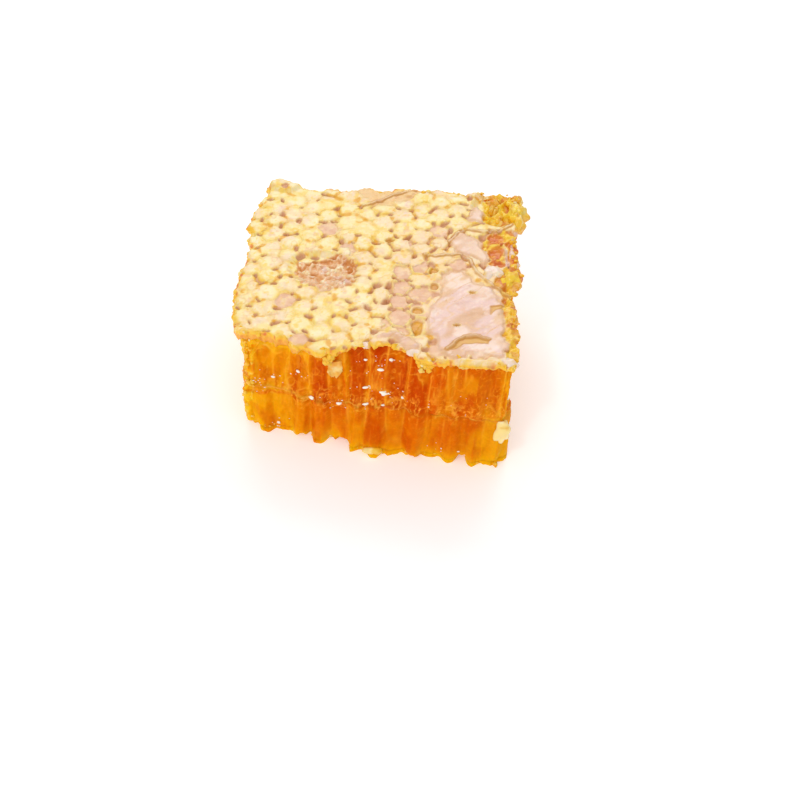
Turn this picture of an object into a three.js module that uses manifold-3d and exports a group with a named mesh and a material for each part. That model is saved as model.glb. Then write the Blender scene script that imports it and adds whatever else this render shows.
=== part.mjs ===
// A cut piece of honeycomb: two layers of honey-filled cells back to back on a wax midrib,
// closed above and below by wax cappings. Millimetres, +Z up, underside on z = 0.
import * as THREE from 'three';
import { mergeVertices } from 'three/addons/utils/BufferGeometryUtils.js';
import Module from 'manifold-3d';

const wasm = await Module();
wasm.setup();

// --- driving dimensions -------------------------------------------------------------------

// One worker cell, measured across the flats, sets the scale of everything else.
const CELL_PITCH = 5.4;
const CELL_RADIUS = CELL_PITCH / Math.sqrt(3);
const COLUMN_STEP = CELL_PITCH * Math.cos(Math.PI / 6);
const ROW_TURN = THREE.MathUtils.degToRad(2.5);
const CELL_ORIGIN = { x: -0.5, y: 2.2 };
const CELL_LEAN = -0.04;

// Heights on the centre line, and how much each plane climbs for every mm along +X.
const PIECE_HEIGHT = 34.4;
const TOP_CLIMB = 0.0775;
const MIDRIB_HEIGHT = 15.5;
const MIDRIB_CLIMB = 0.055;
const MIDRIB_THICKNESS = 0.9;
const MIDRIB_PROUD = 0.25;
const TOP_CAPPING = 2.0;
const BOTTOM_CAPPING = 1.5;
const CLEARANCE = 0.3;

// Corners of the piece in plan, at the top rim and at the foot, counter-clockwise from front left.
const TOP_CORNERS = [[-34.0, -24.6], [32.4, -31.9], [32.6, 31.8], [-34.0, 31.8]];
const FOOT_CORNERS = [[-30.6, -25.2], [33.3, -31.6], [33.0, 31.2], [-31.4, 30.8]];
const PLAN_CENTRE = { x: -0.8, y: 1.4 };

// Where the torn rim swells out (+) or is broken back (-): distance of the middle along X on the
// front and back or along Y on the sides, half width, and depth. They fade towards the other rim.
const TOP_SWELLS = [
  [[-26.5, 4.5, -1.8], [-16, 4, 2.4], [-10.7, 2.2, 2.4], [1.5, 6.5, -2.7], [13.2, 2.6, 2.0],
    [19.3, 1.6, 1.8], [28.3, 2.5, 0.8]],
  [[-8.6, 4, -1.8], [-2, 2, 0.6], [12, 6, -1.3], [26, 3, 0.8]],
  [[25.5, 3, 1.8], [6, 8, 1.0], [-17, 5, -1.0], [-29.5, 3, 3.2]],
  [[27.5, 2, -0.9], [15, 6, 2.1], [-10, 13, 2.1]],
];
const FOOT_SWELLS = [
  [[0.5, 5.5, 3.0], [12, 6, 0.8]],
  [[-12, 7, -0.9], [10, 6, 0.5]],
  [[14, 8, -0.9], [-12, 7, 0.8]],
  [[12, 8, 0.9], [-8, 6, -0.8]],
];

// The cut face stands out on each column of cells and falls back at the walls between them.
const RIM_STEP = 1.2;
const CORNER_PASSES = 3;
const CRUST_FLUTE = 0.6;
const CELL_FLUTE = 1.2;
const FOOT_FLUTE = 1.8;
const FLUTE_SPREAD = 0.8;
const CRUST_OVERHANG = 1.3;
const CELL_RINGS = 5;

// Relief of a wax cap: a flat middle, a shoulder ring round it and a low edge.
const CAP_RISE = 0.55;
const CAP_SPREAD = 0.35;
const CAP_RING = 0.62;
const CAP_SHOULDER = 0.8;

// Pits where three caps meet: how many of the corners have one, and its least and full depth.
const PIT_SHARE = 0.45;
const PIT_LEAST = 0.5;
const PIT_DEPTH = 1.0;
const CORNER_DIP = 0.1;

// The slab of caps that the capping is cut from: cells each way from the middle one, its depth, and
// how far the cutter stands above it.
const FIELD_COLUMNS = 9;
const FIELD_ROWS = 8;
const FIELD_DEPTH = 10;
const CUTTER_ABOVE = 3;

// The underside: insets of its rim from the floor up, and where and how often it is pitted.
const UNDERSIDE_INSETS = [1.0, 0.25, 0];
const UNDERSIDE_PIT = { share: 0.3, radius: 1.1, depth: 0.9 };
const UNDERSIDE_FIELD = { left: -28, right: 30, front: -23, back: 27 };

// Ovals where the caps are lifted or sunk, and bolder or smoother: a torn patch, a smooth sheet of
// honey, opened cells at the back right corner and a curled back left corner.
const REGIONS = [
  { x: -16.0, y: 0.0, rx: 9.0, ry: 6.0, lift: -0.9, relief: 0.6 },
  { x: 19.5, y: -12.0, rx: 11.0, ry: 16.0, lift: 0.1, relief: 0.15 },
  { x: 27.0, y: 27.0, rx: 7.0, ry: 8.0, lift: -0.7, relief: -1.2 },
  { x: -29.0, y: 32.5, rx: 4.5, ry: 4.0, lift: 1.1, relief: 0.5 },
];
const REGION_FULL = 0.75;
const REGION_END = 1.1;

// Scraps of wax that hang from the front of the rim: place along X, width and drop.
const FLAPS = [
  { x: -12.2, width: 4.2, drop: 4.0 },
  { x: 11.4, width: 5.4, drop: 4.4 },
  { x: 20.2, width: 4.0, drop: 1.8 },
];
const FLAP_THICKNESS = 0.9;
const FLAP_ROOT = 1.2;
const FLAP_GRIP = 0.3;
const FLAP_LEAN = 0.12;
// The tongue of a flap: where its sides start to close, as a share of the drop, and how full its
// end is, as a share of the width.
const FLAP_SHOULDER = 0.3;
const FLAP_FULLNESS = 0.38;
const FLAP_CURVE_STEPS = 4;

const MERGE_DISTANCE = 0.01;

// --- the comb's lattice -------------------------------------------------------------------

const HASH_STEPS = [127.1, 311.7, 74.7];
const HASH_SCALE = 43758.5453;
// Corners are named by their place in quarters of a millimetre.
const KEYS_PER_MM = 4;

// A value from 0 to 1 for each pair of whole numbers and each salt.
function hash(i, j, salt) {
  const wave = Math.sin(i * HASH_STEPS[0] + j * HASH_STEPS[1] + salt * HASH_STEPS[2]) * HASH_SCALE;
  return wave - Math.floor(wave);
}

// Lattice coordinates of a point: along the columns' step and along the rows.
function toLattice(x, y, z) {
  const dx = x - CELL_ORIGIN.x - CELL_LEAN * (z - MIDRIB_HEIGHT);
  const dy = y - CELL_ORIGIN.y;
  const u = dx * Math.cos(ROW_TURN) + dy * Math.sin(ROW_TURN);
  const v = dy * Math.cos(ROW_TURN) - dx * Math.sin(ROW_TURN);
  return [u, v];
}

function fromLattice(u, v, z) {
  const x = u * Math.cos(ROW_TURN) - v * Math.sin(ROW_TURN);
  const y = v * Math.cos(ROW_TURN) + u * Math.sin(ROW_TURN);
  return [x + CELL_ORIGIN.x + CELL_LEAN * (z - MIDRIB_HEIGHT), y + CELL_ORIGIN.y];
}

function cellCentre(i, j) {
  const odd = Math.abs(i % 2);
  return [i * COLUMN_STEP, (j + odd / 2) * CELL_PITCH];
}

// The cell that holds a lattice point, and the point's distance from that cell's nearest wall.
function cellAround(u, v) {
  let best = null;
  const nearest = Math.round(u / COLUMN_STEP);
  for (let i = nearest - 1; i <= nearest + 1; i += 1) {
    const odd = Math.abs(i % 2);
    const j = Math.round(v / CELL_PITCH - odd / 2);
    const [cu, cv] = cellCentre(i, j);
    const away = Math.hypot(u - cu, v - cv);
    if (!best || away < best.away) best = { i, j, away, du: u - cu, dv: v - cv };
  }
  const walls = [Math.PI / 2, Math.PI / 6, (5 * Math.PI) / 6];
  const reach = walls.map((a) => Math.abs(best.du * Math.cos(a) + best.dv * Math.sin(a)));
  return { i: best.i, j: best.j, wall: Math.max(0, CELL_PITCH / 2 - Math.max(...reach)) };
}

// How far the cut face stands out at a point: least at a wall, most in the middle of a column.
function flute(x, y, z, depth) {
  const cell = cellAround(...toLattice(x, y, z));
  const rise = THREE.MathUtils.smoothstep(cell.wall, 0, CELL_PITCH / 3);
  return depth * rise * (1 + FLUTE_SPREAD * (hash(cell.i, cell.j, 1) - 0.5)) - depth / 2;
}

// --- the outline of the piece in plan -----------------------------------------------------

// One side between two corners; along is the coordinate that the swells are measured in.
function sidePoint(corners, swells, side, t) {
  const start = new THREE.Vector2(...corners[side]);
  const end = new THREE.Vector2(...corners[(side + 1) % 4]);
  const outward = new THREE.Vector2(end.y - start.y, start.x - end.x).normalize();
  const point = start.lerp(end, t);
  const along = side % 2 === 0 ? point.x : point.y;
  const bulge = ([at, reach, out]) => out * Math.exp(-(((along - at) / reach) ** 2));
  return point.addScaledVector(outward, swells[side].reduce((sum, swell) => sum + bulge(swell), 0));
}

// The outline at a height, as a share of the way from the foot (0) to the top rim (1).
function planOutline(share) {
  const ring = [];
  const corners = TOP_CORNERS.map((corner) => new THREE.Vector2(...corner));
  for (let side = 0; side < 4; side += 1) {
    const steps = Math.round(corners[side].distanceTo(corners[(side + 1) % 4]) / RIM_STEP);
    for (let k = 0; k < steps; k += 1) {
      const foot = sidePoint(FOOT_CORNERS, FOOT_SWELLS, side, k / steps);
      const top = sidePoint(TOP_CORNERS, TOP_SWELLS, side, k / steps);
      ring.push(foot.lerp(top, share));
    }
  }
  return roundCorners(ring);
}

function roundCorners(ring) {
  let smooth = ring;
  for (let pass = 0; pass < CORNER_PASSES; pass += 1) {
    smooth = smooth.map((point, k) => {
      const before = smooth[(k + smooth.length - 1) % smooth.length];
      const after = smooth[(k + 1) % smooth.length];
      return point.clone().add(before).add(after).divideScalar(3);
    });
  }
  return smooth;
}

// A ring of the cut face at a share of the height: inset all round, then fluted by the cells.
function cutRing(share, inset, depth) {
  const z = share * PIECE_HEIGHT;
  const ring = planOutline(share);
  return ring.map((point, k) => {
    const before = ring[(k + ring.length - 1) % ring.length];
    const after = ring[(k + 1) % ring.length];
    const outward = new THREE.Vector2(after.y - before.y, before.x - after.x).normalize();
    return point.clone().addScaledVector(outward, flute(point.x, point.y, z, depth) - inset);
  });
}

// --- closed solids ------------------------------------------------------------------------

// Joins rings of [x, y, z] points, listed from the lowest up, and closes both ends.
function loft(rings) {
  const count = rings[0].length;
  const position = rings.flat(2);
  const index = [];
  for (let level = 0; level < rings.length - 1; level += 1) {
    for (let k = 0; k < count; k += 1) {
      const a = level * count + k;
      const b = level * count + ((k + 1) % count);
      index.push(a, b, b + count, a, b + count, a + count);
    }
  }
  const last = (rings.length - 1) * count;
  for (const [a, b, c] of fillRing(rings[0])) index.push(a, c, b);
  for (const [a, b, c] of fillRing(rings[rings.length - 1])) index.push(last + a, last + b, last + c);
  return buffer(position, index);
}

function fillRing(ring) {
  return THREE.ShapeUtils.triangulateShape(ring.map(([x, y]) => new THREE.Vector2(x, y)), []);
}

function buffer(position, index) {
  const geometry = new THREE.BufferGeometry();
  geometry.setAttribute('position', new THREE.Float32BufferAttribute(position, 3));
  geometry.setIndex(index);
  return geometry;
}

function toManifold(geometry) {
  const bare = geometry.clone();
  bare.deleteAttribute('normal');
  bare.deleteAttribute('uv');
  const merged = mergeVertices(bare);
  const vertProperties = Float32Array.from(merged.attributes.position.array);
  const triVerts = Uint32Array.from(merged.index.array);
  return new wasm.Manifold(new wasm.Mesh({ numProp: 3, vertProperties, triVerts }));
}

function fromManifold(solid) {
  const mesh = solid.getMesh();
  return buffer(Array.from(mesh.vertProperties), Array.from(mesh.triVerts));
}

const topPlane = (x) => PIECE_HEIGHT + TOP_CLIMB * x;
const midribPlane = (x) => MIDRIB_HEIGHT + MIDRIB_CLIMB * x;

// Lifts plan rings onto levels spread evenly between two planes.
function between(low, high, insets, depths) {
  return insets.map((inset, k) => {
    const height = (x) => THREE.MathUtils.lerp(low(x), high(x), k / (insets.length - 1));
    return cutRing(height(0) / PIECE_HEIGHT, inset, depths[k]).map((p) => [p.x, p.y, height(p.x)]);
  });
}

// The cell layers lie back under the crust and come out to the full outline at the foot.
const insetAt = (z) => (CRUST_OVERHANG * z) / PIECE_HEIGHT;

// --- the wax cappings ---------------------------------------------------------------------

// What the condition of the comb does to the caps at a point: raised or sunk, bolder or smoother.
function condition(x, y) {
  let lift = 0;
  let relief = 1;
  for (const region of REGIONS) {
    const away = Math.hypot((x - region.x) / region.rx, (y - region.y) / region.ry);
    const hold = 1 - THREE.MathUtils.smoothstep(away, REGION_FULL, REGION_END);
    lift += region.lift * hold;
    relief += (region.relief - 1) * hold;
  }
  return { lift, relief };
}

function capVertex([u, v], rise) {
  const [x, y] = fromLattice(u, v, PIECE_HEIGHT);
  const { lift, relief } = condition(x, y);
  return [x, y, topPlane(x) + lift + relief * rise];
}

// The depth of the pit where three caps meet; the key is the same for all three of them.
function pitDepth([u, v]) {
  const key = [Math.round(u * KEYS_PER_MM), Math.round(v * KEYS_PER_MM)];
  if (hash(...key, 2) >= PIT_SHARE) return CORNER_DIP;
  return THREE.MathUtils.lerp(PIT_LEAST, PIT_DEPTH, hash(...key, 3));
}

// Runs a function for every cell of the field.
function eachCell(visit) {
  for (let i = -FIELD_COLUMNS; i <= FIELD_COLUMNS; i += 1) {
    for (let j = -FIELD_ROWS; j <= FIELD_ROWS; j += 1) visit(i, j);
  }
}

// A slab of caps, larger than the piece all round and deeper than the capping.
function capField() {
  const position = [];
  eachCell((i, j) => addCap(position, i, j));
  return closeBelow(position, PIECE_HEIGHT - FIELD_DEPTH);
}

function addCap(position, i, j) {
  const [cu, cv] = cellCentre(i, j);
  const rise = CAP_RISE * (1 - CAP_SPREAD * hash(i, j, 4));
  const spoke = (k, reach) => {
    const angle = (k * Math.PI) / 3;
    return [cu + reach * Math.cos(angle), cv + reach * Math.sin(angle)];
  };
  const middle = capVertex([cu, cv], rise);
  const ring = (k) => capVertex(spoke(k, CELL_RADIUS * CAP_RING), rise * CAP_SHOULDER);
  const corner = (k) => capVertex(spoke(k, CELL_RADIUS), -pitDepth(spoke(k, CELL_RADIUS)));
  for (let k = 0; k < 6; k += 1) {
    position.push(middle, ring(k), ring(k + 1));
    position.push(ring(k), corner(k), corner(k + 1));
    position.push(ring(k), corner(k + 1), ring(k + 1));
  }
}

// Closes an open sheet of triangles with walls from its free edges and a flat floor.
function closeBelow(position, floor) {
  const sheet = mergeVertices(buffer(position.flat(), position.map((_, k) => k)), MERGE_DISTANCE);
  const top = Array.from(sheet.attributes.position.array);
  const count = top.length / 3;
  const bottom = top.map((value, k) => (k % 3 === 2 ? floor : value));
  const faces = Array.from(sheet.index.array);
  const index = [...faces];
  const edges = new Set();
  for (let k = 0; k < faces.length; k += 3) {
    const [a, b, c] = faces.slice(k, k + 3);
    index.push(count + a, count + c, count + b);
    for (const [p, q] of [[a, b], [b, c], [c, a]]) edges.add(`${p},${q}`);
  }
  for (const edge of edges) {
    const [p, q] = edge.split(',').map(Number);
    if (!edges.has(`${q},${p}`)) index.push(q, p, count + p, q, count + p, count + q);
  }
  return buffer([...top, ...bottom], index);
}

function topCapping() {
  const under = (x) => topPlane(x) - TOP_CAPPING;
  const over = (x) => topPlane(x) + CUTTER_ABOVE;
  const rim = toManifold(loft(between(under, over, [0, 0], [CRUST_FLUTE, CRUST_FLUTE])));
  const capped = rim.intersect(toManifold(capField()));
  const whole = FLAPS.reduce((solid, flap) => solid.add(toManifold(hangingFlap(flap))), capped);
  return fromManifold(whole);
}

// A thin rounded tongue that hangs from a root above it, in its own flat plane.
function flapShape(width, drop) {
  const half = width / 2;
  const shoulder = -drop * FLAP_SHOULDER;
  const tongue = new THREE.Shape();
  tongue.moveTo(-half, FLAP_ROOT);
  tongue.lineTo(-half, shoulder);
  tongue.quadraticCurveTo(-width * FLAP_FULLNESS, -drop, 0, -drop);
  tongue.quadraticCurveTo(width * FLAP_FULLNESS, -drop, half, shoulder);
  tongue.lineTo(half, FLAP_ROOT);
  return tongue;
}

// A scrap of capping that is folded over the rim, with its root in the rim.
function hangingFlap({ x, width, drop }) {
  const [left, edge, right] = [x - width / 2, x, x + width / 2].map(frontEdge);
  const extrusion = { depth: FLAP_THICKNESS, bevelEnabled: false, curveSegments: FLAP_CURVE_STEPS };
  const geometry = new THREE.ExtrudeGeometry(flapShape(width, drop), extrusion);
  geometry.rotateX(Math.PI / 2 - FLAP_LEAN);
  geometry.rotateZ(Math.atan2(right.y - left.y, right.x - left.x));
  const outermost = Math.min(edge.y, (left.y + right.y) / 2);
  geometry.translate(edge.x, outermost + FLAP_GRIP, topPlane(edge.x) - TOP_CAPPING);
  return geometry;
}

// The point of the front rim that is nearest to a place along X.
function frontEdge(x) {
  const front = cutRing(1, 0, CRUST_FLUTE).filter((p) => p.y < 0);
  return front.reduce((best, p) => (Math.abs(p.x - x) < Math.abs(best.x - x) ? p : best));
}

function bottomCapping() {
  const floor = () => 0;
  const top = () => BOTTOM_CAPPING;
  const depths = UNDERSIDE_INSETS.map(() => FOOT_FLUTE);
  let solid = toManifold(loft(between(floor, top, UNDERSIDE_INSETS, depths)));
  eachCell((i, j) => {
    solid = pitBelow(solid, i, j);
  });
  return fromManifold(solid);
}

// Sinks a three-sided pit into the underside where the cell's right-hand corner meets two more.
function pitBelow(solid, i, j) {
  const [cu, cv] = cellCentre(i, j);
  const [x, y] = fromLattice(cu + CELL_RADIUS, cv, 0);
  const field = UNDERSIDE_FIELD;
  const inside = x > field.left && x < field.right && y > field.front && y < field.back;
  if (!inside || hash(i, j, 5) > UNDERSIDE_PIT.share) return solid;
  const pit = new THREE.ConeGeometry(UNDERSIDE_PIT.radius * 2, UNDERSIDE_PIT.depth * 2, 3);
  pit.rotateX(Math.PI / 2);
  pit.rotateZ(ROW_TURN + hash(i, j, 6));
  pit.translate(x, y, 0);
  return solid.subtract(toManifold(pit));
}

// --- the layers of cells and the midrib between them ---------------------------------------

function cellLayer(low, high, footDepth, topDepth) {
  const levels = Array.from({ length: CELL_RINGS }, (_, k) => k / (CELL_RINGS - 1));
  const insets = levels.map((level) => insetAt(THREE.MathUtils.lerp(low(0), high(0), level)));
  const depths = levels.map((level) => THREE.MathUtils.lerp(footDepth, topDepth, level));
  return loft(between(low, high, insets, depths));
}

function upperCells() {
  const low = (x) => midribPlane(x) + MIDRIB_THICKNESS / 2 + CLEARANCE;
  const high = (x) => topPlane(x) - TOP_CAPPING - CLEARANCE;
  return cellLayer(low, high, CELL_FLUTE, CRUST_FLUTE);
}

function lowerCells() {
  const low = () => BOTTOM_CAPPING + CLEARANCE;
  const high = (x) => midribPlane(x) - MIDRIB_THICKNESS / 2 - CLEARANCE;
  return cellLayer(low, high, FOOT_FLUTE, CELL_FLUTE);
}

function midribSheet() {
  const low = (x) => midribPlane(x) - MIDRIB_THICKNESS / 2;
  const high = (x) => midribPlane(x) + MIDRIB_THICKNESS / 2;
  const inset = insetAt(MIDRIB_HEIGHT) - MIDRIB_PROUD;
  return loft(between(low, high, [inset, inset], [CELL_FLUTE, CELL_FLUTE]));
}

// --- the piece ----------------------------------------------------------------------------

const WAX = { color: 0xf6dc9c, roughness: 0.55, metalness: 0 };
const WAX_EDGE = { color: 0xeeb865, roughness: 0.5, metalness: 0 };
const HONEY_UPPER = { color: 0xe07a08, roughness: 0.15, metalness: 0 };
const HONEY_LOWER = { color: 0xe39010, roughness: 0.15, metalness: 0 };

function mesh(name, geometry, look) {
  geometry.computeVertexNormals();
  const node = new THREE.Mesh(geometry, new THREE.MeshStandardMaterial(look));
  node.name = name;
  return node;
}

const piece = new THREE.Group();
piece.add(mesh('capping_top', topCapping(), WAX));
piece.add(mesh('cells_upper', upperCells(), HONEY_UPPER));
piece.add(mesh('midrib', midribSheet(), WAX_EDGE));
piece.add(mesh('cells_lower', lowerCells(), HONEY_LOWER));
piece.add(mesh('capping_bottom', bottomCapping(), WAX));
piece.position.set(-PLAN_CENTRE.x, -PLAN_CENTRE.y, 0);

export default piece;
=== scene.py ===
"""The looks of a cut piece of honeycomb: wax cappings, honey-filled cells, honey film and crumbs.

Shapes are worked out in millimetres in the plan of the solids, and are moved and scaled to
Blender's metres when a mesh is made. Colours are mixed as sRGB shares and become linear light last.
"""
import itertools
import math
from typing import NamedTuple

import bpy
import numpy as np
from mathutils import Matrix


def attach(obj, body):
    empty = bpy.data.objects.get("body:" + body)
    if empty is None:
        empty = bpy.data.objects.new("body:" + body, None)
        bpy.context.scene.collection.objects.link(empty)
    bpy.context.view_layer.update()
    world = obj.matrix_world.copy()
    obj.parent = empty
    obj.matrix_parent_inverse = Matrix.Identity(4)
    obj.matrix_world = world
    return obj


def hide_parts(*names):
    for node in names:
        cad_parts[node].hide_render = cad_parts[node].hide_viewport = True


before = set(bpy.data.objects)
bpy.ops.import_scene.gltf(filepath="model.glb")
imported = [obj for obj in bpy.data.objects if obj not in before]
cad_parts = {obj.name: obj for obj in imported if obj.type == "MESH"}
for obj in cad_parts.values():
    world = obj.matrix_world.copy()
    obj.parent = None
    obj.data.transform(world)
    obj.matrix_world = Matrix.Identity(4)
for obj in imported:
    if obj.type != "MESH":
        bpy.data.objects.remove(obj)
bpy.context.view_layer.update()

# --- driving dimensions, as in the solids (mm) ------------------------------------------------

MM = 0.001
CELL_PITCH = 5.4
CELL_RADIUS = CELL_PITCH / math.sqrt(3)
COLUMN_STEP = CELL_PITCH * math.cos(math.pi / 6)
ROW_TURN = math.radians(2.5)
CELL_ORIGIN = (-0.5, 2.2)
CELL_LEAN = -0.04

PIECE_HEIGHT = 34.4
TOP_CLIMB = 0.0775
MIDRIB_HEIGHT = 15.5
MIDRIB_CLIMB = 0.055
BOTTOM_CAPPING = 1.5

TOP_CORNERS = ((-34.0, -24.6), (32.4, -31.9), (32.6, 31.8), (-34.0, 31.8))
FOOT_CORNERS = ((-30.6, -25.2), (33.3, -31.6), (33.0, 31.2), (-31.4, 30.8))
PLAN_CENTRE = (-0.8, 1.4)

# Swells (+) and breaks (-) of the torn rim, side by side from the front: place, half width, depth.
TOP_SWELLS = (
    ((-26.5, 4.5, -1.8), (-16, 4, 2.4), (-10.7, 2.2, 2.4), (1.5, 6.5, -2.7), (13.2, 2.6, 2.0),
     (19.3, 1.6, 1.8), (28.3, 2.5, 0.8)),
    ((-8.6, 4, -1.8), (-2, 2, 0.6), (12, 6, -1.3), (26, 3, 0.8)),
    ((25.5, 3, 1.8), (6, 8, 1.0), (-17, 5, -1.0), (-29.5, 3, 3.2)),
    ((27.5, 2, -0.9), (15, 6, 2.1), (-10, 13, 2.1)),
)
FOOT_SWELLS = (
    ((0.5, 5.5, 3.0), (12, 6, 0.8)),
    ((-12, 7, -0.9), (10, 6, 0.5)),
    ((14, 8, -0.9), (-12, 7, 0.8)),
    ((12, 8, 0.9), (-8, 6, -0.8)),
)
RIM_STEP = 1.2
CORNER_PASSES = 3
CRUST_FLUTE = 0.6
CELL_FLUTE = 1.2
FOOT_FLUTE = 1.8
FLUTE_SPREAD = 0.8
CRUST_OVERHANG = 1.3

CAP_RISE = 0.55
CAP_SPREAD = 0.35
PIT_DEPTH = 1.0

# Places where the caps are raised (+) or sunk (-) and bolder or smoother, as in the solids.
OVALS = (
    dict(x=-16.0, y=0.0, rx=9.0, ry=6.0, lift=-0.9, relief=0.6),
    dict(x=19.5, y=-12.0, rx=11.0, ry=16.0, lift=0.1, relief=0.15),
    dict(x=27.0, y=27.0, rx=7.0, ry=8.0, lift=-0.7, relief=-1.2),
    dict(x=-29.0, y=32.5, rx=4.5, ry=4.0, lift=1.1, relief=0.5),
)

# Steps of the fine meshes.
GRID_X = 290
GRID_Y = 270
LEVEL_STEP = 0.27

# --- colours (sRGB, 0 to 255) -----------------------------------------------------------------

CREAM = (252, 233, 184)
BUTTER = (250, 220, 136)
YELLOW = (246, 200, 62)
PEACH = (246, 210, 172)
WET_AMBER = (234, 166, 24)
POCKET_OCHRE = (224, 168, 70)
OCHRE = (204, 136, 48)
WET_TAN = (232, 180, 142)
PIT = (222, 166, 124)
PIT_DARK = (200, 132, 84)
TORN_ORANGE = (210, 124, 38)
TORN_PINK = (244, 196, 150)
LILAC = (236, 198, 186)
FILM_BEIGE = (226, 178, 138)
FILM_PEACH = (236, 190, 138)
BACK_TAN = (236, 188, 124)
AMBER = (232, 164, 10)
AMBER_DEEP = (206, 96, 4)
RIDGE_YELLOW = (252, 208, 44)
CRUST_YELLOW = (250, 196, 36)
PEARL = (246, 220, 200)
# A painted highlight of the honey film.
FILM_HIGHLIGHT = (250, 224, 208)
HONEY_LEFT = (238, 156, 2)
HONEY_MIDDLE = (220, 94, 1)
HONEY_DEEP = (196, 62, 1)
HONEY_RIGHT = (212, 100, 2)
HONEY_TIP = (248, 182, 6)
WALL_LIGHT = (250, 176, 56)
MIDRIB_LIGHT = (254, 174, 60)
FLAKE = (248, 184, 70)
# A painted glint: the near-white tint of the beads and of specks in the torn patch.
GLINT = (255, 250, 234)
FLOOR_WHITE = (250, 250, 250)


def linear(colour):
    """sRGB shares as linear light, by the curve of the sRGB standard."""
    share = np.clip(colour, 0, 1)
    return np.where(share <= 0.04045, share / 12.92, ((share + 0.055) / 1.055) ** 2.4)


def rgb(colour):
    """Shares from 0 to 1 of a colour in the list above; what is in shares already stays as it is."""
    return np.array(colour) / 255 if isinstance(colour, tuple) else colour


def mix(below, above, weight):
    """Blends a colour, or one for each point, over another by a weight for each point."""
    weight = np.clip(np.asarray(weight), 0, 1)[..., None]
    return rgb(below) * (1 - weight) + rgb(above) * weight


# --- noise ------------------------------------------------------------------------------------

HASH_STEPS = np.array((127.1, 311.7, 74.7))
HASH_SCALE = 43758.5453
SALT_STEP = 19.19


def hash01(i, j, salt):
    """A value from 0 to 1 for each pair of whole numbers, the same as in the solids."""
    wave = np.sin(i * HASH_STEPS[0] + j * HASH_STEPS[1] + salt * HASH_STEPS[2]) * HASH_SCALE
    return wave - np.floor(wave)


def smoothstep(value, low, high):
    share = np.clip((value - low) / (high - low), 0, 1)
    return share * share * (3 - 2 * share)


def peak(distance, width):
    """1 at no distance, and a soft fall to 0 over a few widths."""
    return np.exp(-(distance / width) ** 2)


def at_least(least, mask):
    """A mask or noise squeezed into the part above a share: 1 stays 1, and 0 becomes that share."""
    return least + (1 - least) * mask


def blend(low, high, share):
    """What lies between two values at a share of the way from the first to the second."""
    return low + (high - low) * share


def noise(points, size, salt):
    """Smooth noise from -1 to 1 over points (..., 3), with features of that size in mm.

    The salt is any number. Each use has one of its own, so that no two patterns agree."""
    cell = np.asarray(points) / size
    base = np.floor(cell)
    part = smoothstep(cell - base, 0, 1)
    total = 0
    for corner in itertools.product((0, 1), repeat=3):
        corner = np.array(corner)
        weight = np.prod(np.where(corner == 1, part, 1 - part), axis=-1)
        wave = np.sin((base + corner) @ HASH_STEPS + salt * SALT_STEP) * HASH_SCALE
        total = total + weight * (wave - np.floor(wave))
    return 2 * total - 1


def fractal(points, size, octaves, salt):
    """Noise with finer and fainter noise over it."""
    return sum(noise(points, size / 2 ** k, salt + k) / 2 ** k for k in range(octaves))


class Mottle(NamedTuple):
    """Patches of a colour: how strong they are, their size in mm, the noise level at which they
    start and at which they are full, and how many times taller than wide they are."""
    colour: tuple
    weight: float
    size: float
    start: float
    full: float
    tall: float = 1.0


class Thread(NamedTuple):
    """Thin wandering lines: their colour and how strong it is, the size of their loops in mm, their
    width as a share of that, how many times taller than wide loops are, and how far they stand out."""
    colour: tuple
    weight: float
    size: float
    width: float
    tall: float = 1.0
    rise: float = 0.0


class Ripple(NamedTuple):
    """Relief of a surface: its height and feature size in mm, its octaves, and how tall features are."""
    height: float
    size: float
    octaves: int
    tall: float = 1.0


class Layer(NamedTuple):
    """A colour laid over others: how strong it is, and the values at which it starts and is full."""
    colour: tuple
    weight: float
    start: float
    full: float


class Line(NamedTuple):
    """A line of colour along a place: how strong it is and its width in mm."""
    colour: tuple
    weight: float
    width: float


# Noise levels between which a wandering line breaks off and is whole.
LINE_BREAKS = (-0.5, 0.3)


def laid(tint, layer, value, mask=1.0):
    return mix(tint, layer.colour, layer.weight * mask * smoothstep(value, layer.start, layer.full))


def lined(tint, line, distance, mask=1.0):
    return mix(tint, line.colour, line.weight * mask * peak(distance, line.width))


def mottled(tint, at, mottles, salt, mask=1.0):
    for k, patch in enumerate(mottles):
        level = fractal(at / (1, 1, patch.tall), patch.size, 2, salt + 3 * k)
        tint = mix(tint, patch.colour, patch.weight * mask * smoothstep(level, patch.start, patch.full))
    return tint


def lines_of(at, thread, salt):
    """1 on the lines of a thread and 0 beside them: where smooth noise passes through zero."""
    level = fractal(at / (1, 1, thread.tall), thread.size, 2, salt)
    return peak(level, thread.width) * smoothstep(noise(at, thread.size, salt + 7), *LINE_BREAKS)


def threaded(tint, at, threads, salt, mask=1.0):
    for k, thread in enumerate(threads):
        tint = mix(tint, thread.colour, thread.weight * mask * lines_of(at, thread, salt + 3 * k))
    return tint


def raised(at, threads, salt, mask=1.0):
    return sum(thread.rise * mask * lines_of(at, thread, salt + 3 * k) for k, thread in enumerate(threads))


def rippled(at, ripples, salt):
    return sum(r.height * fractal(at / (1, 1, r.tall), r.size, r.octaves, salt + 5 * k)
               for k, r in enumerate(ripples))


def stack(x, y, z):
    return np.stack(np.broadcast_arrays(x, y, z), axis=-1).astype(float)


def at_height(plan, z):
    """Plan points (..., 2) as points at one height, or at a height for each."""
    return stack(plan[..., 0], plan[..., 1], z)


# --- the comb's lattice -----------------------------------------------------------------------

# The six neighbours of a cell: steps in columns and in half rows.
NEIGHBOURS = ((0, 2), (0, -2), (1, 1), (1, -1), (-1, 1), (-1, -1))


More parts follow.
